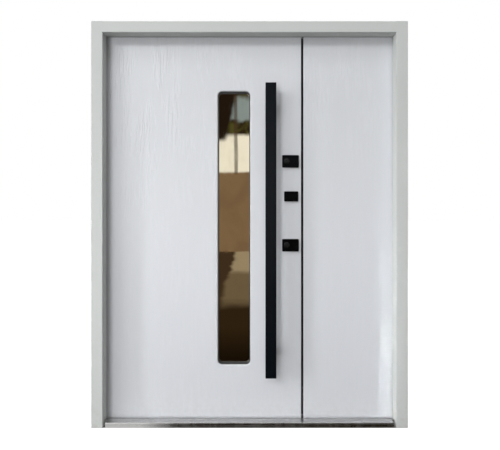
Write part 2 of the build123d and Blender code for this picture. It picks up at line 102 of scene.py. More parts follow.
class NodeSheet:
    """A shader node tree that is filled by short calls."""

    def __init__(self, tree: Tree) -> None:
        """Take a tree and empty it."""
        self.tree = tree
        tree.nodes.clear()

    def add(self, kind: str, **settings: Any) -> Node:
        """Add a node.

        Args:
            kind: The node's type name.
            settings: Properties to set on it.

        Returns:
            The new node.
        """
        node = self.tree.nodes.new(kind)
        for key, value in settings.items():
            setattr(node, key, value)
        return node

    def feed(self, socket: Socket, source: Source) -> None:
        """Link a source to a socket, or set a plain value on it.

        Args:
            socket: The input to feed.
            source: An output socket, a number, or a tuple of numbers.
        """
        if isinstance(source, Socket):
            self.tree.links.new(source, socket)
        else:
            socket.default_value = source

    def math(self, operation: str, *terms: Source, clamp: bool = False) -> Socket:
        """A Math node.

        Args:
            operation: Its operation.
            terms: What goes into its inputs, in order.
            clamp: Whether the result is held between 0 and 1.

        Returns:
            Its result.
        """
        node = self.add("ShaderNodeMath", operation=operation, use_clamp=clamp)
        for socket, term in zip(node.inputs, terms):
            self.feed(socket, term)
        return node.outputs[0]

    def push(self, value: Source, pattern: Source, reach: float, clamp: bool = False) -> Socket:
        """A value with so much of a pattern added to it, held between 0 and 1 where it is clamped."""
        return self.math("MULTIPLY_ADD", pattern, reach, value, clamp=clamp)

    def noise(self, vector: Source, scale: Source, detail: float = 2.0, distortion: float = 0.0) -> Socket:
        """A noise pattern.

        Args:
            vector: Where the pattern is read.
            scale: Cells per metre.
            detail: Octaves of finer noise.
            distortion: How far the pattern is pushed about.

        Returns:
            A value around one half.
        """
        node = self.add("ShaderNodeTexNoise")
        self.feed(node.inputs["Vector"], vector)
        self.feed(node.inputs["Scale"], scale)
        node.inputs["Detail"].default_value = detail
        node.inputs["Distortion"].default_value = distortion
        return node.outputs[0]

    def stretch(self, vector: Source, scale: Place, place: Place = (0.0, 0.0, 0.0)) -> Socket:
        """Scale and shift a pattern's coordinates.

        Args:
            vector: The coordinates.
            scale: Factor on each axis.
            place: Shift on each axis.

        Returns:
            The new coordinates.
        """
        node = self.add("ShaderNodeMapping")
        self.feed(node.inputs["Vector"], vector)
        node.inputs["Scale"].default_value = scale
        node.inputs["Location"].default_value = place
        return node.outputs[0]

    def span(
        self, value: Source, low: Source, high: Source, start: Source = 0.0, end: Source = 1.0,
    ) -> Socket:
        """Map a range onto another and hold it there.

        Args:
            value: The value to map.
            low: Where the range starts.
            high: Where it ends.
            start: What the range's start becomes.
            end: What its end becomes.

        Returns:
            The mapped value.
        """
        node = self.add("ShaderNodeMapRange")
        for socket, term in zip(node.inputs, (value, low, high, start, end)):
            self.feed(socket, term)
        return node.outputs[0]

    def tint(self, share: Source, first: Source, second: Source) -> Socket:
        """Mix two colours.

        Args:
            share: How much of the second colour shows.
            first: A colour or its source.
            second: A colour or its source.

        Returns:
            The mixed colour.
        """
        node = self.add("ShaderNodeMix", data_type="RGBA")
        self.feed(node.inputs[0], share)
        for socket, colour in zip((node.inputs[6], node.inputs[7]), (first, second)):
            plain = isinstance(colour, tuple)
            self.feed(socket, colour + (1.0,) if plain else colour)
        return node.outputs[2]

    def parts(self, vector: Source) -> tuple[Socket, Socket, Socket]:
        """Take a vector apart.

        Args:
            vector: The vector.

        Returns:
            Its x, y and z.
        """
        node = self.add("ShaderNodeSeparateXYZ")
        self.feed(node.inputs[0], vector)
        return node.outputs[0], node.outputs[1], node.outputs[2]

    def place(self) -> Socket:
        """The piece's own coordinates."""
        return self.add("ShaderNodeTexCoord").outputs["Object"]

    def show(self, shader: Node, output: str = "ShaderNodeOutputMaterial") -> None:
        """Lead a shader to the tree's output."""
        self.feed(self.add(output).inputs["Surface"], shader.outputs[0])

    def effect(self, group: Tree, **inputs: Source) -> Node:
        """Place a shared effect.

        Args:
            group: The effect's node group.
            inputs: Its inputs by name, with underscores for blanks.

        Returns:
            The group's node.
        """
        node = self.add("ShaderNodeGroup", node_tree=group)
        for key, source in inputs.items():
            self.feed(node.inputs[key.replace("_", " ")], source)
        return node

    def bump(self, height: Source, strength: float, distance: float) -> Socket:
        """A relief from a height pattern.

        Args:
            height: The pattern.
            strength: Share of the relief that shows.
            distance: Its depth.

        Returns:
            The bent normal.
        """
        node = self.add("ShaderNodeBump")
        self.feed(node.inputs["Height"], height)
        node.inputs["Strength"].default_value = strength
        node.inputs["Distance"].default_value = distance
        return node.outputs[0]


class EffectShelf:
    """Shared surface effects, each a node group that is built once."""

    def __init__(self) -> None:
        """Build every effect."""
        self.powder = self._powder()
        self.grain = self._grain()
        self.hairline = self._hairline()
        self.dust = self._dust()
        self.smudge = self._smudge()

    @staticmethod
    def _open(name: str, numbers: dict[str, float], results: Iterable[str]) -> tuple:
        """Start a group that reads coordinates and numbers.

        Args:
            name: The group's name.
            numbers: Its number inputs and their usual values.
            results: Names of its outputs.

        Returns:
            The group, its sheet, its input node and its output node.
        """
        group = bpy.data.node_groups.new(name, "ShaderNodeTree")
        group.interface.new_socket(name="Vector", in_out="INPUT", socket_type="NodeSocketVector")
        for key, usual in numbers.items():
            socket = group.interface.new_socket(name=key, in_out="INPUT", socket_type="NodeSocketFloat")
            socket.default_value = usual
        for key in results:
            group.interface.new_socket(name=key, in_out="OUTPUT", socket_type="NodeSocketFloat")
        sheet = NodeSheet(group)
        return group, sheet, sheet.add("NodeGroupInput"), sheet.add("NodeGroupOutput")

    def _powder(self) -> Tree:
        """Orange peel of a sprayed coat, and its slow changes of tone.

        Returns:
            The group.
        """
        numbers = {"Peel Scale": 600.0, "Cloud Scale": 3.0}
        group, sheet, given, result = self._open("sprayed_coat", numbers, ("Height", "Cloud"))
        peel = sheet.noise(given.outputs["Vector"], given.outputs["Peel Scale"], 1.0)
        cloud = sheet.noise(given.outputs["Vector"], given.outputs["Cloud Scale"], 4.0)
        sheet.feed(result.inputs["Height"], peel)
        sheet.feed(result.inputs["Cloud"], sheet.span(cloud, 0.3, 0.7))
        return group

    def _grain(self) -> Tree:
        """Wood figure pressed into sheet steel: arched rings, patches of strokes, fibres and pores.

        Returns:
            The group.
        """
        numbers = {"Rings": 22.0, "Fibre Scale": 1.0, "Bold": 0.0}
        group, sheet, given, result = self._open("pressed_wood_grain", numbers, ("Height", "Pores", "Figure"))
        arches, waver, breaks = (4.2, 4.2, 0.5), (55.0, 55.0, 2.2), (30.0, 30.0, 5.0)
        patches, strokes = (8.0, 8.0, 3.2), (68.0, 68.0, 9.0)
        fibres, dashes = (240.0, 240.0, 4.0), (430.0, 430.0, 13.0)
        waver_share, ring_share, fibre_share, pore_share = 0.5, 0.3, 0.16, -0.2
        place = given.outputs["Vector"]
        size = given.outputs["Fibre Scale"]
        slow = sheet.noise(sheet.stretch(place, arches), 1.0, 1.4, 0.35)
        fine = sheet.noise(sheet.stretch(place, waver), size, 2.0)
        turns = sheet.push(sheet.math("MULTIPLY", slow, given.outputs["Rings"]), fine, waver_share)
        wave = sheet.math("SINE", sheet.math("MULTIPLY", turns, 2.0 * math.pi))
        broken = sheet.span(sheet.noise(sheet.stretch(place, breaks), size, 2.0), 0.44, 0.6)
        ring = sheet.math("MULTIPLY", sheet.span(wave, -0.6, 1.0), broken)
        patch = sheet.span(sheet.noise(sheet.stretch(place, patches), 1.0, 2.0), 0.42, 0.56)
        stroke = sheet.span(sheet.noise(sheet.stretch(place, strokes), size, 2.0, 0.9), 0.44, 0.6)
        stroke = sheet.math("MULTIPLY", sheet.math("MULTIPLY", stroke, patch), given.outputs["Bold"])
        fibre = sheet.noise(sheet.stretch(place, fibres), size, 2.0)
        pores = sheet.span(sheet.noise(sheet.stretch(place, dashes), size, 1.0), 0.58, 0.7)
        figure = sheet.push(stroke, ring, ring_share)
        height = sheet.push(sheet.push(figure, fibre, fibre_share), pores, pore_share)
        sheet.feed(result.inputs["Height"], height)
        sheet.feed(result.inputs["Pores"], pores)
        sheet.feed(result.inputs["Figure"], figure)
        return group

    def _hairline(self) -> Tree:
        """Fine parallel scratches of a brushed metal; the coordinates come in stretched along them.

        Returns:
            The group.
        """
        group, sheet, given, result = self._open("brushed_lines", {"Line Scale": 900.0}, ("Height", "Streak"))
        wide_share = 0.12
        place = given.outputs["Vector"]
        fine = sheet.noise(place, given.outputs["Line Scale"], 3.0)
        wide = sheet.noise(place, sheet.math("MULTIPLY", given.outputs["Line Scale"], wide_share), 2.0)
        sheet.feed(result.inputs["Height"], fine)
        sheet.feed(result.inputs["Streak"], sheet.span(sheet.math("ADD", fine, wide), 0.75, 1.25))
        return group

    def _dust(self) -> Tree:
        """Settled dust and splashes, thickest near the floor.

        Returns:
            The group.
        """
        numbers = {"Reach": 0.25, "Fleck Scale": 45.0}
        group, sheet, given, result = self._open("settled_dust", numbers, ("Mask",))
        height = sheet.parts(given.outputs["Vector"])[2]
        low = sheet.span(height, 0.0, given.outputs["Reach"], 1.0, 0.0)
        fleck = sheet.span(sheet.noise(given.outputs["Vector"], given.outputs["Fleck Scale"], 4.0), 0.4, 0.75)
        mask = sheet.math("MULTIPLY", sheet.math("MULTIPLY", low, low), fleck, clamp=True)
        sheet.feed(result.inputs["Mask"], mask)
        return group

    def _smudge(self) -> Tree:
        """Blotches that hands and a cloth leave on a smooth surface.

        Returns:
            The group.
        """
        group, sheet, given, result = self._open("hand_smudges", {"Blotch Scale": 18.0}, ("Mask",))
        strokes = (9.0, 9.0, 2.5)
        blotch = sheet.noise(given.outputs["Vector"], given.outputs["Blotch Scale"], 4.0, 0.6)
        wipe = sheet.noise(sheet.stretch(given.outputs["Vector"], strokes), 4.0, 2.0)
        mask = sheet.math("MULTIPLY", sheet.span(blotch, 0.42, 0.68), sheet.span(wipe, 0.3, 0.7))
        sheet.feed(result.inputs["Mask"], mask)
        return group


@dataclass
class PaintJob:
    """A material in hand, and what its finish is painted with.

    Attributes:
        sheet: The material's tree.
        shader: Its shader.
        place: The piece's own coordinates.
        shelf: The shared effects.
    """

    sheet: NodeSheet
    shader: Node
    place: Socket
    shelf: EffectShelf

    def set(self, socket: str, number: float) -> None:
        """Set a number of the shader."""
        self.shader.inputs[socket].default_value = number

    def coat(self, cells: float, clouds: float) -> tuple[Socket, Socket]:
        """Add a coat by its cells and clouds per metre, and give their height and their mask."""
        node = self.sheet.effect(self.shelf.powder, Vector=self.place, Peel_Scale=cells, Cloud_Scale=clouds)
        return node.outputs["Height"], node.outputs["Cloud"]

    def lines(self, stretch: Place, scale: float) -> tuple[Socket, Socket]:
        """Add fine parallel lines.

        Args:
            stretch: Stretch of their pattern, small along the lines.
            scale: Lines per metre.

        Returns:
            The lines' height and the streaks' mask.
        """
        along = self.sheet.stretch(self.place, stretch)
        node = self.sheet.effect(self.shelf.hairline, Vector=along, Line_Scale=scale)
        return node.outputs["Height"], node.outputs["Streak"]

    def blotches(self, scale: float) -> Socket:
        """Add blotches, so many per metre, and give their mask."""
        return self.sheet.effect(self.shelf.smudge, Vector=self.place, Blotch_Scale=scale).outputs["Mask"]

    def soil(self, tone: Source, colour: Colour, mask: Source, share: float) -> Socket:
        """Lay a share of another colour over a tone, where a mask says."""
        return self.sheet.tint(self.sheet.math("MULTIPLY", mask, share), tone, colour)

    def dust(self, tone: Source, colour: Colour, share: float) -> Socket:
        """Lay a share of dust over a tone, near the floor."""
        mask = self.sheet.effect(self.shelf.dust, Vector=self.place).outputs["Mask"]
        return self.soil(tone, colour, mask, share)

    def press(self, height: Source, share: float, depth: float) -> None:
        """Press a share of a height pattern into the surface."""
        self.sheet.feed(self.shader.inputs["Normal"], self.sheet.bump(height, share, depth))


@dataclass(frozen=True)
class Finish:
    """A finish that makes one material.

    Attributes:
        name: The material's name.
        colour: Its main colour, linear.
        roughness: Its middle roughness.
        spread: How far the roughness goes to either side.
        specular: Reflection level of a coat, where it isn't a metal.
    """

    name: str
    colour: Colour
    roughness: float
    spread: float = 0.05
    specular: float = 0.5

    def make(self, shelf: EffectShelf) -> Material:
        """Make the material.

        Args:
            shelf: The shared effects.

        Returns:
            The material.
        """
        material = bpy.data.materials.new(self.name)
        material.use_nodes = True
        material.diffuse_color = self.colour + (1.0,)
        sheet = NodeSheet(material.node_tree)
        shader = sheet.add("ShaderNodeBsdfPrincipled")
        sheet.show(shader)
        job = PaintJob(sheet, shader, sheet.place(), shelf)
        job.set("Specular IOR Level", self.specular)
        self.paint(job)
        return material

    def paint(self, job: PaintJob) -> None:
        """Paint the finish; every kind has its own way."""
        raise NotImplementedError

    def lay(self, job: PaintJob, tone: Source, mask: Source) -> None:
        """Set the colour, and a roughness that follows a mask.

        Args:
            job: The material in hand.
            tone: The colour.
            mask: From 0 where the finish is smoothest to 1 where it is roughest.
        """
        low, high = self.roughness - self.spread, self.roughness + self.spread
        job.sheet.feed(job.shader.inputs["Base Color"], tone)
        job.sheet.feed(job.shader.inputs["Roughness"], job.sheet.span(mask, 0.0, 1.0, low, high))

    def shade(self, factor: float) -> Colour:
        """The main colour made darker or lighter."""
        red, green, blue = (min(1.0, part * factor) for part in self.colour)
        return red, green, blue


@dataclass(frozen=True)
class SprayedCoat(Finish):
    """Powder coat on steel: orange peel, slow clouds of tone, and dust near the floor.

    Attributes:
        peel_scale: Cells of orange peel per metre.
        peel_depth: Depth of the peel.
        relief: Share of the peel that shows.
        cloud_scale: Clouds per metre.
        cloud: Tone of the darkest cloud against the main colour.
        smudge_scale: Smudges per metre.
        dust_share: How much the dust covers.
        dust_colour: The dust's colour.
    """

    peel_scale: float = 420.0
    peel_depth: float = 0.00006
    relief: float = 0.5
    cloud_scale: float = 2.4
    cloud: float = 0.95
    smudge_scale: float = 18.0
    dust_share: float = 0.3
    dust_colour: Colour = (0.36, 0.33, 0.29)

    def paint(self, job: PaintJob) -> None:
        """Paint the coat.

        Args:
            job: The material in hand.
        """
        peel, cloud = job.coat(self.peel_scale, self.cloud_scale)
        tone = job.sheet.tint(cloud, self.colour, self.shade(self.cloud))
        tone = job.dust(tone, self.dust_colour, self.dust_share)
        self.lay(job, tone, job.blotches(self.smudge_scale))
        job.press(peel, self.relief, self.peel_depth)


@dataclass(frozen=True)
class GrainedCoat(Finish):
    """Paint over sheet steel with a pressed wood figure.

    Attributes:
        rings: Rings in the figure.
        depth: Depth of the pressing.
        relief: Share of the pressing that shows.
        hollow: Tone of the pressed lines against the main colour.
        pore_share: How much the pores count among those lines.
        shift: Moves the figure, so that leaves differ.
        bold_grain_and_shade_place: Where the pressing is boldest; its darker strokes there are partly painted
            shade, standing in for grazing light on the grain.
        bold: How bold it is there.
        bold_reach: How far from there it has faded.
        bold_core: Share of that reach at which it starts to fade.
        bold_rest: Share of the boldness that is left where it has faded.
        peel_scale: Cells of the paint's texture per metre.
        peel_share: Height of that texture against the pressing.
        cloud_scale: Clouds of tone per metre.
        cloud: Tone of the darkest cloud against the main colour.
        cloud_share: How much the clouds show.
        dust_share: How much the dust covers.
        dust_colour: The dust's colour.
    """

    rings: float = 22.0
    depth: float = 0.0006
    relief: float = 0.45
    hollow: float = 0.96
    pore_share: float = 0.5
    shift: Place = (0.0, 0.0, 0.0)
    bold_grain_and_shade_place: Place = (-0.64, 0.0, 1.72)
    bold: float = 5.0
    bold_reach: float = 0.75
    bold_core: float = 0.2
    bold_rest: float = 0.08
    peel_scale: float = 700.0
    peel_share: float = 0.12
    cloud_scale: float = 1.6
    cloud: float = 0.965
    cloud_share: float = 0.5
    dust_share: float = 0.2
    dust_colour: Colour = (0.42, 0.4, 0.37)

    def paint(self, job: PaintJob) -> None:
        """Paint the grained coat.

        Args:
            job: The material in hand.
        """
        sheet = job.sheet
        moved = sheet.stretch(job.place, (1.0, 1.0, 1.0), self.shift)
        # The pressed grain is real; its bolder, darker strokes near one place are partly painted shade for
        # grazing light.
        grain = sheet.effect(job.shelf.grain, Vector=moved, Rings=self.rings, Bold=self._boldness_and_shade(job))
        line = sheet.push(grain.outputs["Figure"], grain.outputs["Pores"], self.pore_share, clamp=True)
        peel, cloud = job.coat(self.peel_scale, self.cloud_scale)
        tone = job.soil(self.colour, self.shade(self.cloud), cloud, self.cloud_share)
        tone = sheet.tint(line, self.shade(self.hollow), tone)
        self.lay(job, job.dust(tone, self.dust_colour, self.dust_share), line)
        job.press(sheet.push(grain.outputs["Height"], peel, self.peel_share), self.relief, self.depth)

    def _boldness_and_shade(self, job: PaintJob) -> Socket:
        """How bold the pressing and its painted shade are, by the distance from their boldest place.

        Args:
            job: The material in hand.

        Returns:
            The boldness.
        """
        away = job.sheet.add("ShaderNodeVectorMath", operation="DISTANCE")
        job.sheet.feed(away.inputs[0], job.place)
        job.sheet.feed(away.inputs[1], self.bold_grain_and_shade_place)
        core, rest = self.bold_reach * self.bold_core, self.bold * self.bold_rest
        return job.sheet.span(away.outputs["Value"], core, self.bold_reach, self.bold, rest)


@dataclass(frozen=True)
class BrushedMetal(Finish):
    """Bare metal with fine lines along one axis.

    Attributes:
        lines: Stretch of the line pattern, small along the lines.
        line_scale: Lines per metre.
        depth: Depth of the lines.
        relief: Share of the lines' depth that shows.
        worn: Tone of the streaks against the main colour.
        stain_scale: Blotches of soiling per metre.
        stain_colour: Colour of the soiling.
        stain_share: How much the soiling covers.
        stain_rough: How much the soiling roughens.
    """

    lines: Place = (0.005, 1.0, 1.0)
    line_scale: float = 900.0
    depth: float = 0.00001
    relief: float = 0.2
    worn: float = 0.91
    stain_scale: float = 12.0
    stain_colour: Colour = (0.09, 0.08, 0.065)
    stain_share: float = 0.15
    stain_rough: float = 0.5

    def paint(self, job: PaintJob) -> None:
        """Paint the brushed metal.

        Args:
            job: The material in hand.
        """
        job.set("Metallic", 1.0)
        height, streak = job.lines(self.lines, self.line_scale)
        stain = job.blotches(self.stain_scale)
        tone = job.sheet.tint(streak, self.colour, self.shade(self.worn))
        tone = job.soil(tone, self.stain_colour, stain, self.stain_share)
        self.lay(job, tone, job.sheet.push(streak, stain, self.stain_rough, clamp=True))
        job.press(height, self.relief, self.depth)


@dataclass(frozen=True)
class BlackFitting(Finish):
    """Black metal furniture: a thin hard coat with hand marks.

    Attributes:
        peel_scale: Cells of the coat's texture per metre.
        peel_depth: Depth of the texture.
        relief: Share of the texture that shows.
        cloud_scale: Clouds of tone per metre.
        cloud: Tone of the darkest cloud against the main colour.
        mark: Colour of the hand marks.
        mark_scale: Hand marks per metre.
        mark_share: How much the hand marks cover.
    """

    peel_scale: float = 1400.0
    peel_depth: float = 0.00003
    relief: float = 0.4
    cloud_scale: float = 9.0
    cloud: float = 0.7
    mark: Colour = (0.004, 0.0045, 0.0058)
    mark_scale: float = 30.0
    mark_share: float = 0.35

    def paint(self, job: PaintJob) -> None:
        """Paint the black coat.

        Args:
            job: The material in hand.
        """
        peel, cloud = job.coat(self.peel_scale, self.cloud_scale)
        marks = job.blotches(self.mark_scale)
        tone = job.sheet.tint(cloud, self.colour, self.shade(self.cloud))
        self.lay(job, job.soil(tone, self.mark, marks, self.mark_share), marks)
        job.press(peel, self.relief, self.peel_depth)


@dataclass(frozen=True)
class Rubber(Finish):
    """Extruded rubber: dull, faintly drawn along its length, a little dusty.

    Attributes:
        lines: Stretch of the draw marks, small along them.
        line_scale: Draw marks per metre.
        peel_scale: Cells of the skin's texture per metre.
        depth: Depth of marks and texture.
        relief: Share of that depth that shows.
        dust_scale: Patches of dust per metre.
        dust_share: How much the dust covers.
        dust_colour: The dust's colour.
    """

    lines: Place = (1.0, 1.0, 0.05)
    line_scale: float = 500.0
    peel_scale: float = 1500.0
    depth: float = 0.00005
    relief: float = 0.4
    dust_scale: float = 14.0
    dust_share: float = 0.3
    dust_colour: Colour = (0.06, 0.058, 0.054)

    def paint(self, job: PaintJob) -> None:
        """Paint the rubber.

        Args:
            job: The material in hand.
        """
        height, streak = job.lines(self.lines, self.line_scale)
        peel, cloud = job.coat(self.peel_scale, self.dust_scale)
        self.lay(job, job.soil(self.colour, self.dust_colour, cloud, self.dust_share), streak)
        job.press(job.sheet.math("ADD", height, peel), self.relief, self.depth)


@dataclass(frozen=True)
class MirrorGlass(Finish):
    """Bronze mirror glass: a tinted mirror with a slight draw in the sheet and wiping marks.

    Attributes:
        wiped: Tone of the wiping marks against the main colour.
        wipe_scale: Wiping marks per metre.
        wave_stretch: Stretch of the sheet's waviness.
        wave_scale: Waves per metre.
        wave_depth: Depth of the waves.
        relief: Share of that depth that shows.
    """

    wiped: float = 0.93
    wipe_scale: float = 8.0
    wave_stretch: Place = (1.0, 1.0, 0.6)
    wave_scale: float = 5.0
    wave_depth: float = 0.0003
    relief: float = 0.5

    def paint(self, job: PaintJob) -> None:
        """Paint the mirror glass.

        Args:
            job: The material in hand.
        """
        job.set("Metallic", 1.0)
        wipes = job.blotches(self.wipe_scale)
        self.lay(job, job.sheet.tint(wipes, self.colour, self.shade(self.wiped)), wipes)
        wave = job.sheet.noise(job.sheet.stretch(job.place, self.wave_stretch), self.wave_scale, 1.0)
        job.press(wave, self.relief, self.wave_depth)


@dataclass(frozen=True)
class ClearGlass(Finish):
    """Plain float glass with wiping marks.

    Attributes:
        ior: Index of refraction.
        wiped: Tone of the wiping marks against the main colour.
        wipe_scale: Wiping marks per metre.
    """

    ior: float = 1.52
    wiped: float = 0.97
    wipe_scale: float = 10.0

    def paint(self, job: PaintJob) -> None:
        """Paint the glass.

        Args:
            job: The material in hand.
        """
        job.set("Transmission Weight", 1.0)
        job.set("IOR", self.ior)
        wipes = job.blotches(self.wipe_scale)
        self.lay(job, job.sheet.tint(wipes, self.colour, self.shade(self.wiped)), wipes)


@dataclass(frozen=True)
class Foam(Finish):
    """Rigid foam between the sheets: cells and a skin of uneven tone.

    Attributes:
        cells: Cells per metre.
        cell_depth: Depth of a cell.
        relief: Share of that depth that shows.
        cloud_scale: Clouds of tone per metre.
        cloud: Tone of the darkest cloud against the main colour.
    """

    cells: float = 350.0
    cell_depth: float = 0.0006
    relief: float = 0.7
    cloud_scale: float = 8.0
    cloud: float = 0.85

    def paint(self, job: PaintJob) -> None:
        """Paint the foam.

        Args:
            job: The material in hand.
        """
        pits, cloud = job.coat(self.cells, self.cloud_scale)
        self.lay(job, job.sheet.tint(cloud, self.colour, self.shade(self.cloud)), cloud)
        job.press(pits, self.relief, self.cell_depth)


class FinishRack:
    """Every finish of the door, by the record's slot."""

    FINISHES: dict[str, Finish] = {
        "frame_paint": SprayedCoat("frame_grey_coat", (0.571, 0.586, 0.571), 0.62, 0.06, 0.18),
        "leaf_paint": GrainedCoat("main_leaf_grained_coat", (0.672, 0.682, 0.712), 0.48, 0.07, 0.3),
        # The side leaf's paint is the main leaf's paint made a little darker, as painted shade on the side
        # leaf.
        "side_leaf_shaded_paint": GrainedCoat(
            "side_leaf_shaded_grained_coat", (0.662, 0.672, 0.702), 0.48, 0.07, 0.3,
            shift=(3.1, 0.0, 1.7), bold_grain_and_shade_place=(0.4, 0.0, 1.72), bold=1.8, bold_reach=0.5,
        ),
        "leaf_core": Foam("leaf_foam", (0.62, 0.53, 0.33), 0.85, 0.08),
        "stainless": BrushedMetal("brushed_stainless", (0.56, 0.555, 0.55), 0.26, 0.09),
        "hinge_steel": BrushedMetal(
            "satin_hinge_steel", (0.36, 0.36, 0.357), 0.34, 0.08, lines=(1.0, 1.0, 0.04),
        ),
        "seal_rubber": Rubber("seal_rubber", (0.014, 0.014, 0.015), 0.68, 0.1),
        "dark_trim": SprayedCoat("slot_trim_coat", (0.05, 0.05, 0.052), 0.4, 0.06, dust_share=0.0),
        "bronze_mirror_glass": MirrorGlass("bronze_mirror_glass", (0.46, 0.38, 0.28), 0.035, 0.02),
        "clear_glass": ClearGlass("clear_float_glass", (0.93, 0.97, 0.95), 0.02, 0.02),
        "black_satin": BlackFitting("satin_black_coat", (0.0014, 0.0028, 0.0052), 0.4, 0.06, 0.12),
        "black_gloss": BlackFitting(
            "gloss_black_coat", (0.0012, 0.0014, 0.0022), 0.26, 0.06, 0.045,
            peel_scale=2200.0, peel_depth=0.00001,
        ),
        "turned_black": BlackFitting(
            "turned_black_coat", (0.0016, 0.0017, 0.0022), 0.42, 0.05, 0.22,
            peel_scale=2600.0, peel_depth=0.00001,
        ),
    }

    def __init__(self, shelf: EffectShelf) -> None:
        """Make each material once."""
        self.made = {slot: finish.make(shelf) for slot, finish in self.FINISHES.items()}

    def put_on(self, slot: str, *pieces: Piece) -> None:
        """Give pieces a finish.

        Args:
            slot: The finish's key.
            pieces: The objects to dress.
        """
        for piece in pieces:
            if not piece.material_slots:
                piece.data.materials.append(None)
            for holder in piece.material_slots:
                holder.material = self.made[slot]


class Bench:
    """Modelling steps by operator, on one active object at a time."""

    @staticmethod
    def clear() -> None:
        """Leave edit mode and deselect everything."""
        if bpy.context.mode != "OBJECT":
            bpy.ops.object.mode_set(mode="OBJECT")
        bpy.ops.object.select_all(action="DESELECT")

    @staticmethod
    def hold(*pieces: Piece) -> None:
        """Select pieces alone, the last of them active.

        Args:
            pieces: The objects to select.
        """
        Bench.clear()
        for piece in pieces:
            piece.select_set(True)
            bpy.context.view_layer.objects.active = piece

    @staticmethod
    def settle(name: str) -> Piece:
        """Name the primitive just added and put its place into its mesh.

        Args:
            name: The object's name.

        Returns:
            The primitive.
        """
        piece = bpy.context.object
        piece.name = name
        bpy.ops.object.transform_apply(location=True, rotation=True, scale=True)
        return piece

    @staticmethod
    def block(name: str, size: Place, place: Place) -> Piece:
        """Add a block.

        Args:
            name: The object's name.
            size: Its lengths.
            place: Its centre.

        Returns:
            The block, with its size applied.
        """
        Bench.clear()
        bpy.ops.mesh.primitive_cube_add(size=1.0, location=place, scale=size)
        return Bench.settle(name)

    @staticmethod
    def disc(name: str, radius: float, depth: float, sides: int, place: Place) -> Piece:
        """Add a short cylinder.

        Args:
            name: The object's name.
            radius: Its radius.
            depth: Its height.
            sides: How many sides it has.
            place: Its centre.

        Returns:
            The cylinder.
        """
        Bench.clear()
        bpy.ops.mesh.primitive_cylinder_add(vertices=sides, radius=radius, depth=depth, location=place)
        return Bench.settle(name)

    @staticmethod
    def unpick(piece: Piece, kind: str) -> None:
        """Deselect a piece's whole mesh, ready for picks of one kind, and leave edit mode.

        Args:
            piece: The object.
            kind: What is picked next, FACE or EDGE.
        """
        Bench.hold(piece)
        bpy.ops.object.mode_set(mode="EDIT")
        bpy.ops.mesh.select_mode(type=kind)
        bpy.ops.mesh.select_all(action="DESELECT")
        bpy.ops.object.mode_set(mode="OBJECT")

    @staticmethod
    def pick_faces(piece: Piece, test: PickTest) -> None:
        """Select faces by place and normal, and stay in edit mode.

        Args:
            piece: The object.
            test: Says of a face's centre and normal whether it is wanted.
        """
        Bench.unpick(piece, "FACE")
        for face in piece.data.polygons:
            face.select = test(face.center, face.normal)
        bpy.ops.object.mode_set(mode="EDIT")

    @staticmethod
    def pick_edges(piece: Piece, test: PickTest) -> None:
        """Select edges by their two ends, and stay in edit mode.

        Args:
            piece: The object.
            test: Says of an edge's ends whether it is wanted.
        """
        Bench.unpick(piece, "EDGE")
        points = piece.data.vertices
        for edge in piece.data.edges:
            first, second = edge.vertices
            edge.select = test(points[first].co, points[second].co)
        bpy.ops.object.mode_set(mode="EDIT")

    @staticmethod
    def cut(piece: Piece, cutter: Piece) -> None:
        """Take a cutter's shape out of a piece and remove the cutter.

        Args:
            piece: The object that is cut.
            cutter: The shape to take out.
        """
        Bench.hold(piece)
        tool = piece.modifiers.new("recess", "BOOLEAN")
        tool.operation = "DIFFERENCE"
        tool.solver = "EXACT"
        tool.object = cutter
        bpy.ops.object.modifier_apply(modifier=tool.name)
        bpy.data.objects.remove(cutter)

    @staticmethod
    def spread(pattern: Piece, name: str, places: Iterable[Place], facing: Facing) -> Piece:
        """Copy a pattern to places, each copy with its own mesh, and join them into one piece.

        Args:
            pattern: The object to copy; it is left as it is.
            name: The piece's name.
            places: Where the copies go.
            facing: Which way they look.

        Returns:
            The joined piece.
        """
        copies = []
        for place in places:
            Bench.hold(pattern)
            bpy.ops.object.duplicate(linked=False)
            copy = bpy.context.object
            copy.rotation_euler = facing.value
            copy.location = place
            copies.append(copy)
        Bench.hold(*copies)
        bpy.ops.object.transform_apply(location=True, rotation=True, scale=True)
        if len(copies) > 1:
            bpy.ops.object.join()
        piece = bpy.context.object
        piece.name = name
        piece.data.name = name
        return piece

    @staticmethod
    def smooth(piece: Piece, degrees: float = 35.0) -> None:
        """Shade a piece smooth where its faces meet at less than an angle."""
        Bench.hold(piece)
        bpy.ops.object.shade_smooth_by_angle(angle=math.radians(degrees))


def looks_up(centre: Vector, normal: Vector) -> bool:
    """Whether a face looks up."""
    return normal.z > 0.9


def stands_upright(centre: Vector, normal: Vector) -> bool:
    """Whether a face looks to a side."""
    return abs(normal.z) < 0.1


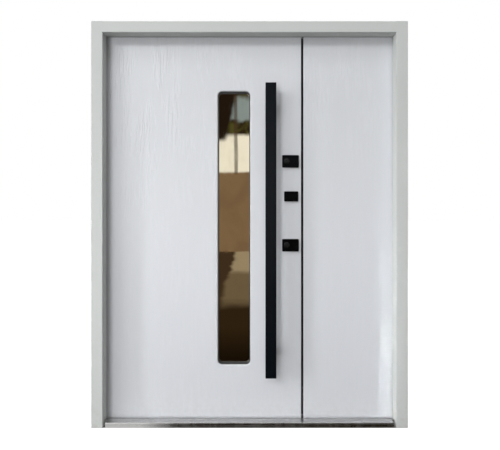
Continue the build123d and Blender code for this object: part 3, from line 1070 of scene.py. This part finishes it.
@dataclass(frozen=True)
class Screw:
    """A low screw head with a recess, modelled looking up with its seat at z = 0.

    Attributes:
        radius: Radius of the head.
        seat: How far the head reaches below its seat.
        rim: Height of the rim over the seat.
        crown: Rise from the rim to the top.
        drive: Shape of the recess.
        sides: Sides of the head.
        steps: Inset and rise of each step of the crown, as shares of the radius and the crown.
        cross: Width of a cross recess's arms and their reach from its core, as shares of the radius.
        hexagon: Radius of a hex recess, as a share of the radius.
        recess_floor: How far into the seat the recess goes, as a share of it.
    """

    radius: float = 0.0042
    seat: float = 0.0004
    rim: float = 0.0003
    crown: float = 0.0005
    drive: Drive = Drive.CROSS
    sides: int = 24
    steps: tuple[tuple[float, float], ...] = ((0.14, 0.65), (0.22, 0.35))
    cross: tuple[float, float] = (0.2, 0.42)
    hexagon: float = 0.5
    recess_floor: float = 0.4

    def model(self, name: str) -> Piece:
        """Model the head.

        Args:
            name: The object's name.

        Returns:
            The head.
        """
        depth = self.seat + self.rim
        head = Bench.disc(name, self.radius, depth, self.sides, (0.0, 0.0, self.rim - depth / 2))
        Bench.pick_faces(head, looks_up)
        for inset, rise in self.steps:
            bpy.ops.mesh.inset(thickness=self.radius * inset)
            bpy.ops.transform.translate(value=(0.0, 0.0, self.crown * rise))
        Bench.clear()
        Bench.cut(head, self._recess())
        Bench.smooth(head)
        return head

    def _recess(self) -> Piece:
        """The shape that the driver's recess takes out.

        Returns:
            A cutter about the head's top.
        """
        top = self.rim + self.crown
        deep = 2.0 * (top + self.seat * self.recess_floor)
        if self.drive is Drive.HEX:
            return Bench.disc("hex_cutter", self.radius * self.hexagon, deep, 6, (0.0, 0.0, top))
        arm, reach = (self.radius * share for share in self.cross)
        cutter = Bench.block("cross_cutter", (arm, arm, deep), (0.0, 0.0, top))
        Bench.pick_faces(cutter, stands_upright)
        bpy.ops.mesh.extrude_faces_move(TRANSFORM_OT_shrink_fatten={"value": reach})
        bpy.ops.mesh.select_all(action="SELECT")
        bpy.ops.mesh.normals_make_consistent(inside=False)
        Bench.clear()
        return cutter


@dataclass(frozen=True)
class SealLip:
    """A soft upright lip along a leaf's edge, which narrows to its tip.

    Attributes:
        root: Where the lip starts, within the edge.
        tip: Where it ends.
        depth: Depth of its middle.
        thick: Thickness at its root.
        end_reach: How far it passes the leaf's ends, to close the gap there.
        taper: Thickness of the tip, as a share of the root's.
        rounding: Rounding of the tip's edges, as a share of the root's thickness.
    """

    root: float
    tip: float
    depth: float
    thick: float = 0.0032
    end_reach: float = 0.0046
    taper: float = 0.4
    rounding: float = 0.12

    def model(self, name: str, leaf: str) -> Piece:
        """Model the lip at its place.

        Args:
            name: The object's name.
            leaf: The node whose height the lip takes.

        Returns:
            The lip.
        """
        low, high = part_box(leaf)
        size = (abs(self.tip - self.root), self.thick, high.z - low.z + 2.0 * self.end_reach)
        place = ((self.root + self.tip) / 2, self.depth, (low.z + high.z) / 2)
        near, tall = size[0] / 10, size[2] / 2
        lip = Bench.block(name, size, place)
        Bench.pick_faces(lip, lambda centre, normal: abs(centre.x - self.tip) < near)
        pivot = (self.tip, self.depth, place[2])
        bpy.ops.transform.resize(value=(1.0, self.taper, 1.0), center_override=pivot)
        Bench.pick_edges(lip, lambda a, b: abs(a.x + b.x - 2.0 * self.tip) < near and abs(a.z - b.z) > tall)
        bpy.ops.mesh.bevel(offset=self.thick * self.rounding, segments=3, affect="EDGES")
        Bench.clear()
        Bench.smooth(lip)
        return lip


@dataclass(frozen=True)
class BoltSlider:
    """A flush bolt's slider, modelled looking up: a round-ended frame with a sunk track and a grip.

    Attributes:
        length: Length of the frame.
        width: Its width.
        thick: Its thickness, and the grip's.
        seat: How far it reaches below its seat.
        end_radius: Rounding of its ends.
        rim: Width of the rim round the track.
        track: Depth of the track.
        grip_length: Length of the grip.
        grip_width: Width of the grip.
        grip_shift: From the frame's middle to the grip's.
        grip_height: Height of the grip's middle.
        grip_slope: Inset of the grip's top.
        grip_rise: How far that top is raised.
    """

    length: float = 0.07
    width: float = 0.013
    thick: float = 0.0012
    seat: float = 0.0004
    end_radius: float = 0.00624
    rim: float = 0.00208
    track: float = 0.00066
    grip_length: float = 0.0195
    grip_width: float = 0.0065
    grip_shift: float = 0.0112
    grip_height: float = 0.00054
    grip_slope: float = 0.0013
    grip_rise: float = 0.0003

    def model(self, name: str) -> Piece:
        """Model the slider.

        Args:
            name: The object's name.

        Returns:
            The slider.
        """
        slider = Bench.block(
            name, (self.length, self.width, self.thick), (0.0, 0.0, self.thick / 2 - self.seat),
        )
        Bench.pick_edges(slider, lambda a, b: abs(a.z - b.z) > self.thick / 2)
        bpy.ops.mesh.bevel(offset=self.end_radius, segments=8, affect="EDGES")
        Bench.pick_faces(slider, looks_up)
        bpy.ops.mesh.inset(thickness=self.rim)
        bpy.ops.mesh.extrude_region_move(TRANSFORM_OT_translate={"value": (0.0, 0.0, -self.track)})
        Bench.clear()
        size = (self.grip_length, self.grip_width, self.thick)
        grip = Bench.block("slider_grip", size, (self.grip_shift, 0.0, self.grip_height))
        Bench.pick_faces(grip, looks_up)
        bpy.ops.mesh.inset(thickness=self.grip_slope)
        bpy.ops.transform.translate(value=(0.0, 0.0, self.grip_rise))
        Bench.clear()
        Bench.hold(grip, slider)
        bpy.ops.object.join()
        Bench.smooth(slider)
        return slider


def lock_heights() -> list[float]:
    """Heights of the upper and the lower lock, at the middles of their plates."""
    boxes = [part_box(node) for node in ("upper_lock_plate", "lower_lock_plate")]
    return [(low.z + high.z) / 2 for low, high in boxes]


def both_ways(middles: Iterable[float], reach: float) -> list[float]:
    """Heights at a reach below and above each middle."""
    return [middle + way * reach for middle in middles for way in (-1.0, 1.0)]


@dataclass
class SubAssembly:
    """A group of pieces that are built and dressed together.

    Attributes:
        rack: The door's finishes.
    """

    rack: FinishRack

    NODES: ClassVar[dict[str, tuple[str, ...]]] = {}

    def build(self) -> None:
        """Model the group's own pieces, where it has any."""

    def dress(self) -> None:
        """Put each finish on the frame's nodes of this group."""
        for slot, names in self.NODES.items():
            for name in names:
                self.rack.put_on(slot, frame["nodes"][name])
                LOG.info("dressed %s with %s", name, self.rack.made[slot].name)

    def take(self, piece: Piece, body: Body, slot: str) -> None:
        """Finish a new piece and let it ride.

        Args:
            piece: The object.
            body: The group that it moves with.
            slot: Its finish.
        """
        Bench.clear()
        self.rack.put_on(slot, piece)
        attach(piece, body.value)
        LOG.info("built %s on %s", piece.name, body.value)

    def fix(
        self, pattern: Piece, name: str, places: Iterable[Place], facing: Facing, body: Body, slot: str,
    ) -> None:
        """Copy a pattern to its places as one finished piece, and remove the pattern.

        Args:
            pattern: The object to copy.
            name: The piece's name.
            places: Where the copies go.
            facing: Which way they look.
            body: The group that the piece moves with.
            slot: Its finish.
        """
        piece = Bench.spread(pattern, name, places, facing)
        bpy.data.objects.remove(pattern)
        self.take(piece, body, slot)


@dataclass
class PressedFrame(SubAssembly):
    """Jambs, head and their rubber seals."""

    NODES = {
        "frame_paint": ("left_jamb", "right_jamb", "frame_head"),
        "seal_rubber": ("left_jamb_seal", "right_jamb_seal", "head_seal", "threshold_seal"),
    }


@dataclass
class Threshold(SubAssembly):
    """The stainless sill, with ribs and screws on its tread.

    Attributes:
        seal_lift: From the tread up to the seal over it.
        rib_count: Ribs across the tread.
        rib_width: Width of a rib at its foot.
        rib_height: Height of a rib.
        rib_inset: Inset of a line on a rib's top, as a share of its width.
        rib_rounding: Rounding of a rib's edges, as a share of its height.
        rib_pitch: From rib to rib.
        first_rib: Depth of the foremost rib.
        rib_half_length: Half the length of a rib.
        screw: The screws.
        screw_depth: Depth of the row of screws.
        screw_pitch: From screw to screw.
        screw_count: Screws in the row.
    """

    seal_lift: float = 0.0015
    rib_count: int = 4
    rib_width: float = 0.003
    rib_height: float = 0.0009
    rib_inset: float = 0.25
    rib_rounding: float = 0.4
    rib_pitch: float = 0.008
    first_rib: float = 0.018
    rib_half_length: float = 0.752
    screw: Screw = Screw(radius=0.0045)
    screw_depth: float = 0.061
    screw_pitch: float = 0.34
    screw_count: int = 5

    NODES = {"stainless": ("threshold",)}

    def build(self) -> None:
        """Model the ribs and the screws on the tread."""
        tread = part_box("threshold_seal")[0].z - self.seal_lift
        self._ribs(tread)
        pattern = self.screw.model("tread_screw_pattern")
        middle = (self.screw_count - 1) / 2
        row = [(index - middle) * self.screw_pitch for index in range(self.screw_count)]
        places = [(across, self.screw_depth, tread) for across in row]
        self.fix(pattern, "tread_screws", places, Facing.UP, Body.FRAME, "stainless")

    def _ribs(self, tread: float) -> None:
        """Model one rib and repeat it across the tread.

        Args:
            tread: Height of the tread.
        """
        size = (2.0 * self.rib_half_length, self.rib_width, self.rib_height)
        rib = Bench.block("tread_ribs", size, (0.0, self.first_rib, tread + self.rib_height / 2))
        Bench.pick_faces(rib, looks_up)
        bpy.ops.mesh.inset(thickness=self.rib_width * self.rib_inset)
        Bench.hold(rib)
        soft = rib.modifiers.new("soft_edges", "BEVEL")
        soft.width = self.rib_height * self.rib_rounding
        soft.segments = 2
        bpy.ops.object.modifier_apply(modifier=soft.name)
        row = rib.modifiers.new("row", "ARRAY")
        row.count = self.rib_count
        row.use_relative_offset = False
        row.use_constant_offset = True
        row.constant_offset_displace = (0.0, self.rib_pitch, 0.0)
        bpy.ops.object.modifier_apply(modifier=row.name)
        Bench.smooth(rib)
        self.take(rib, Body.FRAME, "stainless")


@dataclass
class HingeSet(SubAssembly):
    """Both rows of hinges, with the screws in their plates.

    Attributes:
        screw: The screws.
        plate_offset: From the pin's line to the middle of a plate.
        plate_face: Depth of the plates' inner face.
        hinge_half: Half the length of a hinge.
        stagger: How far the screws stand off the plate's middle.
        rows: Heights of the screws about a hinge's middle.
    """

    screw: Screw = Screw()
    plate_offset: float = 0.02275
    plate_face: float = 0.078
    hinge_half: float = 0.06
    stagger: float = 0.0055
    rows: tuple[float, ...] = (-0.047, -0.017, 0.017, 0.047)

    NODES = {
        "hinge_steel": (
            "main_hinge_frame_halves", "main_hinge_pins", "main_hinge_leaf_halves",
            "side_hinge_frame_halves", "side_hinge_pins", "side_hinge_leaf_halves",
        ),
    }

    def build(self) -> None:
        """Model a screw and put four in each plate."""
        pattern = self.screw.model("hinge_screw_pattern")
        for joint, leaf in zip(frame["joints"], (Body.MAIN_LEAF, Body.SIDE_LEAF)):
            pin = joint["pos_m"][0]
            outward = math.copysign(1.0, pin)
            side = leaf.value.split("_")[0]
            for half, body, way in (("frame", Body.FRAME, outward), ("leaf", leaf, -outward)):
                places = self._places(f"{side}_hinge_{half}_halves", pin + way * self.plate_offset)
                piece = Bench.spread(pattern, f"{side}_hinge_{half}_screws", places, Facing.INSIDE)
                self.take(piece, body, "hinge_steel")
        bpy.data.objects.remove(pattern)

    def _places(self, node: str, across: float) -> list[Place]:
        """Screw places of one row of plates.

        Args:
            node: The plates' node.
            across: The plates' middle line.

        Returns:
            The places.
        """
        low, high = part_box(node)
        places = []
        for hinge in (low.z + self.hinge_half, (low.z + high.z) / 2, high.z - self.hinge_half):
            for index, row in enumerate(self.rows):
                shift = self.stagger if index % 2 else -self.stagger
                places.append((across + shift, self.plate_face, hinge + row))
        return places


@dataclass
class MainLeaf(SubAssembly):
    """The wide leaf with its glass slot and the lock's faceplates.

    Attributes:
        edge_x: Where the faceplates' outer face lies.
        edge_depth: Depth of the faceplates' middle.
        screw: The faceplates' screws.
        screw_reach: From a faceplate's middle to its screws.
        lip: The lip that covers the other leaf's lip from inside.
    """

    edge_x: float = 0.268
    edge_depth: float = 0.04
    screw: Screw = Screw(radius=0.0036)
    screw_reach: float = 0.076
    lip: SealLip = SealLip(root=0.2666, tip=0.2752, depth=0.0715, thick=0.0024)

    NODES = {
        "leaf_paint": ("main_leaf_pan", "main_leaf_lid"),
        "leaf_core": ("main_leaf_core",),
        "dark_trim": ("slot_trim_outside", "slot_trim_inside", "glass_spacer"),
        "seal_rubber": ("slot_gaskets",),
        "bronze_mirror_glass": ("glass_outer_pane",),
        "clear_glass": ("glass_inner_pane",),
        "stainless": ("lock_faceplates", "lock_bolts"),
    }

    def build(self) -> None:
        """Model the closing lip and the faceplates' screws."""
        self.take(self.lip.model("closing_lip", "main_leaf_pan"), Body.MAIN_LEAF, "seal_rubber")
        pattern = self.screw.model("faceplate_screw_pattern")
        heights = both_ways(lock_heights(), self.screw_reach)
        places = [(self.edge_x, self.edge_depth, height) for height in heights]
        self.fix(pattern, "faceplate_screws", places, Facing.RIGHT, Body.MAIN_LEAF, "stainless")


@dataclass
class SideLeaf(SubAssembly):
    """The narrow leaf with its edge seal, strikes and flush bolts.

    Attributes:
        edge_x: Where the plates' outer face lies.
        edge_depth: Depth of the plates' middle.
        screw: The plates' screws.
        strike_reach: From a strike's middle to its screws.
        flush_reach: From a flush bolt plate's middle to its screws.
        flush_half: Half the length of a flush bolt plate.
        slider: The flush bolts' sliders.
        lip: The edge seal's lip, which points to the wide leaf.
    """

    edge_x: float = 0.2814
    edge_depth: float = 0.04
    screw: Screw = Screw(radius=0.0036)
    strike_reach: float = 0.076
    flush_reach: float = 0.088
    flush_half: float = 0.0998
    slider: BoltSlider = BoltSlider()
    lip: SealLip = SealLip(root=0.278, tip=0.2736, depth=0.0665)

    NODES = {
        "side_leaf_shaded_paint": ("side_leaf_pan", "side_leaf_lid"),
        "leaf_core": ("side_leaf_core",),
        "seal_rubber": ("side_meeting_seal",),
        "stainless": ("strike_plates", "flush_bolt_plates"),
    }

    def build(self) -> None:
        """Model the edge seal's lip, the plates' screws and the flush bolts' sliders."""
        self.take(self.lip.model("meeting_lip", "side_leaf_pan"), Body.SIDE_LEAF, "seal_rubber")
        low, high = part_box("flush_bolt_plates")
        flush = [low.z + self.flush_half, high.z - self.flush_half]
        screws = both_ways(lock_heights(), self.strike_reach) + both_ways(flush, self.flush_reach)
        places = [(self.edge_x, self.edge_depth, height) for height in screws]
        pattern = self.screw.model("strike_screw_pattern")
        self.fix(pattern, "strike_screws", places, Facing.LEFT, Body.SIDE_LEAF, "stainless")
        places = [(self.edge_x, self.edge_depth, height) for height in flush]
        pattern = self.slider.model("slider_pattern")
        self.fix(pattern, "flush_bolt_sliders", places, Facing.LEFT, Body.SIDE_LEAF, "stainless")


@dataclass
class DoorFurniture(SubAssembly):
    """Pull bar, lock plates and cylinders outside; plates, turns and lever inside.

    Attributes:
        screw: The grub screws of the pull.
        post_height: Height of one of the pull's posts.
    """

    screw: Screw = Screw(radius=0.003, rim=0.0002, crown=0.0002, drive=Drive.HEX)
    post_height: float = 0.04

    NODES = {
        "black_satin": ("pull_bar", "pull_posts", "inside_lever", "inside_thumb_turns"),
        "black_gloss": (
            "upper_lock_plate", "middle_blank_plate", "lower_lock_plate",
            "inside_upper_plate", "inside_middle_plate", "inside_lower_plate",
        ),
        "turned_black": ("lock_cylinders",),
    }

    def build(self) -> None:
        """Model the grub screws under the pull's posts."""
        pattern = self.screw.model("grub_screw_pattern")
        low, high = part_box("pull_posts")
        across, depth = (low.x + high.x) / 2, (low.y + high.y) / 2
        places = [(across, depth, low.z), (across, depth, high.z - self.post_height)]
        self.fix(pattern, "pull_grub_screws", places, Facing.DOWN, Body.MAIN_LEAF, "black_satin")


@dataclass(frozen=True)
class Lamp:
    """A rectangular lamp.

    Attributes:
        name: The lamp's name.
        place: Where it hangs.
        size: Its width and height.
        power: Its power.
        aim: Where it points.
        spread: Angle of its beam, in degrees.
    """

    name: str
    place: Place
    size: tuple[float, float]
    power: float
    aim: Place = (0.0, 0.0, 1.1)
    spread: float = 180.0


@dataclass
class Studio:
    """Floor, light, reflection cards and the camera.

    Attributes:
        image_px: Width and height of the image.
        axis_px: Where the camera's axis meets the image.
        focal_px: Focal length in pixels.
        camera_place: The camera's place; it looks level along +Y.
        sensor: Sensor width in millimetres.
        ambient: Strength of the surrounding light on the object.
        ambient_colour: Its colour.
        lamp_colour: Colour of the lamps.
        lamps: The lamps, the strongest to the left and above, and two narrow ones for the right edge.
        floor_side: Length of the floor's sides.
        floor_drop: How far the floor lies below the door.
        floor_colour: The floor's colour as the object sees it.
        floor_shade: Its colour as the camera sees the light on it.
        floor_glow: Its own light, as the camera sees it.
        ground_size: Sides of the ground card.
        ground_place: Its middle.
        horizon_size: Sides of the horizon card.
        horizon_place: Its middle.
    """

    image_px: tuple[int, int] = (500, 450)
    axis_px: tuple[float, float] = (250.8, 204.0)
    focal_px: float = 491.4
    camera_place: Place = (0.0066, -2.555, 1.1315)
    sensor: float = 36.0
    ambient: float = 0.28
    ambient_colour: Colour = (1.0, 0.985, 0.955)
    lamp_colour: Colour = (0.97, 0.985, 1.0)
    lamps: tuple[Lamp, ...] = (
        Lamp("key_lamp", (-4.2, -7.6, 6.2), (2.4, 1.6), 228.0),
        Lamp("left_lamp", (-6.8, -5.2, 5.0), (3.0, 2.6), 268.0),
        Lamp("front_lamp", (-2.5, -7.0, 1.4), (1.8, 2.2), 144.0),
        Lamp("top_lamp", (0.0, -4.0, 8.0), (4.0, 2.0), 96.0),
        Lamp("reveal_lamp", (-5.5, -2.2, 1.0), (0.8, 0.8), 4.4, (0.8, -0.05, 0.6), 27.0),
        Lamp("edge_lamp", (-1.4, -4.6, 1.6), (0.03, 1.1), 0.13, (0.739, 0.0, 0.34), 1.5),
        Lamp("back_lamp", (1.9, 6.0, 4.2), (3.0, 1.6), 260.0),
    )
    floor_side: float = 60.0
    floor_drop: float = 0.0002
    floor_colour: Colour = (0.27, 0.265, 0.255)
    floor_shade: Colour = (0.4, 0.4, 0.4)
    floor_glow: float = 0.9
    ground_size: tuple[float, float] = (14.0, 9.0)
    ground_place: Place = (0.0, -4.5735, 0.0004)
    horizon_size: tuple[float, float] = (14.0, 8.0)
    horizon_place: Place = (0.0, -9.08, 4.0)

    def set_up(self) -> None:
        """Put up the whole studio."""
        bpy.context.scene.view_settings.view_transform = "Standard"
        self._camera()
        self._world()
        self._floor()
        for lamp in self.lamps:
            self._hang(lamp)
        ground = self._card("mirror_ground", self.ground_size, self.ground_place)
        self._mirror(ground, "mirrored_ground", self._ground)
        upright = (math.pi / 2, 0.0, 0.0)
        horizon = self._card("mirror_horizon", self.horizon_size, self.horizon_place, upright)
        self._mirror(horizon, "mirrored_horizon", self._horizon)
        LOG.info("studio ready")

    def _camera(self) -> None:
        """Place the camera and shift its view by the axis's place in the image."""
        width, height = self.image_px
        data = bpy.data.cameras.new("door_camera")
        data.sensor_width = self.sensor
        data.lens = self.focal_px / width * self.sensor
        data.shift_x = (width / 2 - self.axis_px[0]) / width
        data.shift_y = (self.axis_px[1] - height / 2) / width
        camera = bpy.data.objects.new("door_camera", data)
        camera.location = self.camera_place
        camera.rotation_euler = (math.pi / 2, 0.0, 0.0)
        bpy.context.scene.collection.objects.link(camera)
        bpy.context.scene.camera = camera

    @staticmethod
    def _by_view(sheet: NodeSheet, lit: Node, seen: Node) -> Node:
        """Mix a shader for the light on the object with one for what is seen.

        Args:
            sheet: The tree.
            lit: The shader that lights the object.
            seen: The shader for rays of the camera, of mirrors and through glass.

        Returns:
            The mixed shader.
        """
        path = sheet.add("ShaderNodeLightPath")
        direct = sheet.math("MAXIMUM", path.outputs["Is Camera Ray"], path.outputs["Is Glossy Ray"])
        mask = sheet.math("MAXIMUM", direct, path.outputs["Is Transmission Ray"])
        mix = sheet.add("ShaderNodeMixShader")
        for socket, source in zip(mix.inputs, (mask, lit.outputs[0], seen.outputs[0])):
            sheet.feed(socket, source)
        return mix

    def _world(self) -> None:
        """A white surrounding that lights the object softly."""
        world = bpy.data.worlds.new("white_studio")
        bpy.context.scene.world = world
        world.use_nodes = True
        sheet = NodeSheet(world.node_tree)
        light = sheet.add("ShaderNodeBackground")
        light.inputs["Color"].default_value = self.ambient_colour + (1.0,)
        light.inputs["Strength"].default_value = self.ambient
        white = sheet.add("ShaderNodeBackground")
        white.inputs["Color"].default_value = (1.0, 1.0, 1.0, 1.0)
        sheet.show(self._by_view(sheet, light, white), "ShaderNodeOutputWorld")

    def _floor(self) -> None:
        """A pale floor that keeps the object's shadow."""
        size = (self.floor_side, self.floor_side)
        floor = self._card("studio_floor", size, (0.0, 0.0, -self.floor_drop))
        material = bpy.data.materials.new("pale_floor")
        material.use_nodes = True
        sheet = NodeSheet(material.node_tree)
        plain = sheet.add("ShaderNodeBsdfDiffuse")
        plain.inputs["Color"].default_value = self.floor_colour + (1.0,)
        thin = sheet.add("ShaderNodeBsdfDiffuse")
        thin.inputs["Color"].default_value = self.floor_shade + (1.0,)
        glow = sheet.add("ShaderNodeEmission")
        glow.inputs["Strength"].default_value = self.floor_glow
        bright = sheet.add("ShaderNodeAddShader")
        sheet.feed(bright.inputs[0], thin.outputs[0])
        sheet.feed(bright.inputs[1], glow.outputs[0])
        sheet.show(self._by_view(sheet, plain, bright))
        floor.data.materials.append(material)

    @staticmethod
    def _card(name: str, size: tuple[float, float], place: Place, turn: Place = (0.0, 0.0, 0.0)) -> Piece:
        """A flat sheet of the studio.

        Args:
            name: The object's name.
            size: Its two sides.
            place: Its centre.
            turn: Its rotation.

        Returns:
            The sheet, with its place in its mesh.
        """
        Bench.clear()
        bpy.ops.mesh.primitive_plane_add(size=1.0, location=place, rotation=turn)
        bpy.context.object.scale = (size[0], size[1], 1.0)
        card = Bench.settle(name)
        Bench.clear()
        return card

    def _hang(self, lamp: Lamp) -> None:
        """Hang a lamp; the ones behind don't show in mirrors.

        Args:
            lamp: The lamp.
        """
        data = bpy.data.lights.new(lamp.name, "AREA")
        data.shape = "RECTANGLE"
        data.size, data.size_y = lamp.size
        data.energy = lamp.power
        data.spread = math.radians(lamp.spread)
        data.color = self.lamp_colour
        holder = bpy.data.objects.new(lamp.name, data)
        holder.location = lamp.place
        holder.rotation_euler = (Vector(lamp.aim) - Vector(lamp.place)).to_track_quat("-Z", "Y").to_euler()
        holder.visible_glossy = lamp.place[1] < 0.0
        bpy.context.scene.collection.objects.link(holder)

    @staticmethod
    def _mirror(card: Piece, name: str, painter: Painter) -> None:
        """Let a card show in mirrors alone, in its own light.

        Args:
            card: The card.
            name: Its material's name.
            painter: Gives its colour.
        """
        card.visible_camera = False
        card.visible_diffuse = False
        card.visible_transmission = False
        card.visible_volume_scatter = False
        card.visible_shadow = False
        material = bpy.data.materials.new(name)
        material.use_nodes = True
        sheet = NodeSheet(material.node_tree)
        glow = sheet.add("ShaderNodeEmission")
        sheet.feed(glow.inputs["Color"], painter(sheet, sheet.place()))
        sheet.show(glow)
        card.data.materials.append(material)

    @staticmethod
    def _ground(sheet: NodeSheet, place: Socket) -> Socket:
        """A brown ground that the glass and the sill mirror, dark near the door.

        Args:
            sheet: The card's tree.
            place: Its coordinates.

        Returns:
            The colour.
        """
        earth, paving, pale = (0.3, 0.25, 0.165), (0.64, 0.58, 0.44), (0.8, 0.8, 0.79)
        side_shade, near_shade, foot_shade = (0.1, 0.068, 0.04), (0.058, 0.038, 0.019), (0.019, 0.0125, 0.006)
        paving_from, near_from, foot_from = (-4.6, -5.4), (-2.75, -2.1), (-1.9, -1.0)
        side_from, corner_across, corner_depth = (-0.2, -0.27), (-0.28, -0.46), (-0.5, -0.25)
        across, depth, _ = sheet.parts(place)
        cloud = sheet.noise(place, 1.3, 3.0, 0.4)
        edge = sheet.push(across, cloud, 0.2)
        tone = sheet.tint(sheet.span(sheet.push(depth, cloud, 1.2), *paving_from), earth, paving)
        tone = sheet.tint(sheet.span(edge, *side_from), tone, side_shade)
        tone = sheet.tint(sheet.span(sheet.push(depth, cloud, 1.0), *near_from), tone, near_shade)
        tone = sheet.tint(sheet.span(depth, *foot_from), tone, foot_shade)
        corner = sheet.math("MULTIPLY", sheet.span(edge, *corner_across), sheet.span(depth, *corner_depth))
        return sheet.tint(corner, tone, pale)

    @staticmethod
    def _horizon(sheet: NodeSheet, place: Socket) -> Socket:
        """A pale band over the ground, dark above, that the glass mirrors.

        Args:
            sheet: The card's tree.
            place: Its coordinates.

        Returns:
            The colour.
        """
        dark_earth, earth, pale_band = (0.37, 0.268, 0.17), (0.42, 0.305, 0.19), (1.8, 1.98, 2.04)
        dark_leaf, leaf, sky = (0.05, 0.036, 0.016), (0.15, 0.16, 0.05), (0.5, 0.7, 0.86)
        dark, wood = (0.032, 0.021, 0.014), (0.12, 0.08, 0.05)
        band_from, leaf_from, dark_from = (1.9, 1.95), (2.88, 2.98), (3.72, 3.86)
        sky_from, sky_to, sky_side = (3.22, 3.32), (3.84, 3.72), (-0.42, -0.34)
        side_slope, side_across, side_from = -0.22, (-1.14, -1.24), (2.62, 2.72)
        post_shift, post_half, post_from, post_share = 0.35, (0.05, 0.03), (1.86, 1.92), 0.72
        across, _, height = sheet.parts(place)
        cloud = sheet.noise(place, 1.6, 4.0, 0.5)
        soft = sheet.push(height, cloud, 0.06)
        ragged = sheet.push(height, sheet.noise(place, 5.0, 3.0, 0.4), 0.3)
        tone = sheet.tint(sheet.span(cloud, 0.4, 0.6), dark_earth, earth)
        tone = sheet.tint(sheet.span(soft, *band_from), tone, pale_band)
        leafy = sheet.tint(sheet.span(sheet.noise(place, 3.4, 3.0, 0.4), 0.45, 0.6), dark_leaf, leaf)
        opening = sheet.math("MULTIPLY", sheet.span(ragged, *sky_from), sheet.span(ragged, *sky_to))
        right = sheet.span(sheet.push(across, cloud, 0.25), *sky_side)
        leafy = sheet.tint(sheet.math("MULTIPLY", opening, right), leafy, sky)
        tone = sheet.tint(sheet.span(sheet.push(height, cloud, 0.3), *leaf_from), tone, leafy)
        lean = sheet.span(sheet.push(across, ragged, side_slope), *side_across)
        tone = sheet.tint(sheet.math("MULTIPLY", lean, sheet.span(soft, *side_from)), tone, dark)
        post = sheet.span(sheet.math("ABSOLUTE", sheet.math("ADD", across, post_shift)), *post_half)
        post = sheet.math("MULTIPLY", post, sheet.span(soft, *post_from))
        tone = sheet.tint(sheet.math("MULTIPLY", post, post_share), tone, wood)
        return sheet.tint(sheet.span(soft, *dark_from), tone, dark)


def main() -> None:
    """Build and dress the door, then put up the studio round it."""
    logging.basicConfig(level=logging.INFO, format="%(message)s")
    rack = FinishRack(EffectShelf())
    for kind in (PressedFrame, Threshold, HingeSet, MainLeaf, SideLeaf, DoorFurniture):
        group = kind(rack)
        group.build()
        group.dress()
    Studio().set_up()
    Bench.clear()


if __name__ == "__main__":
    main()
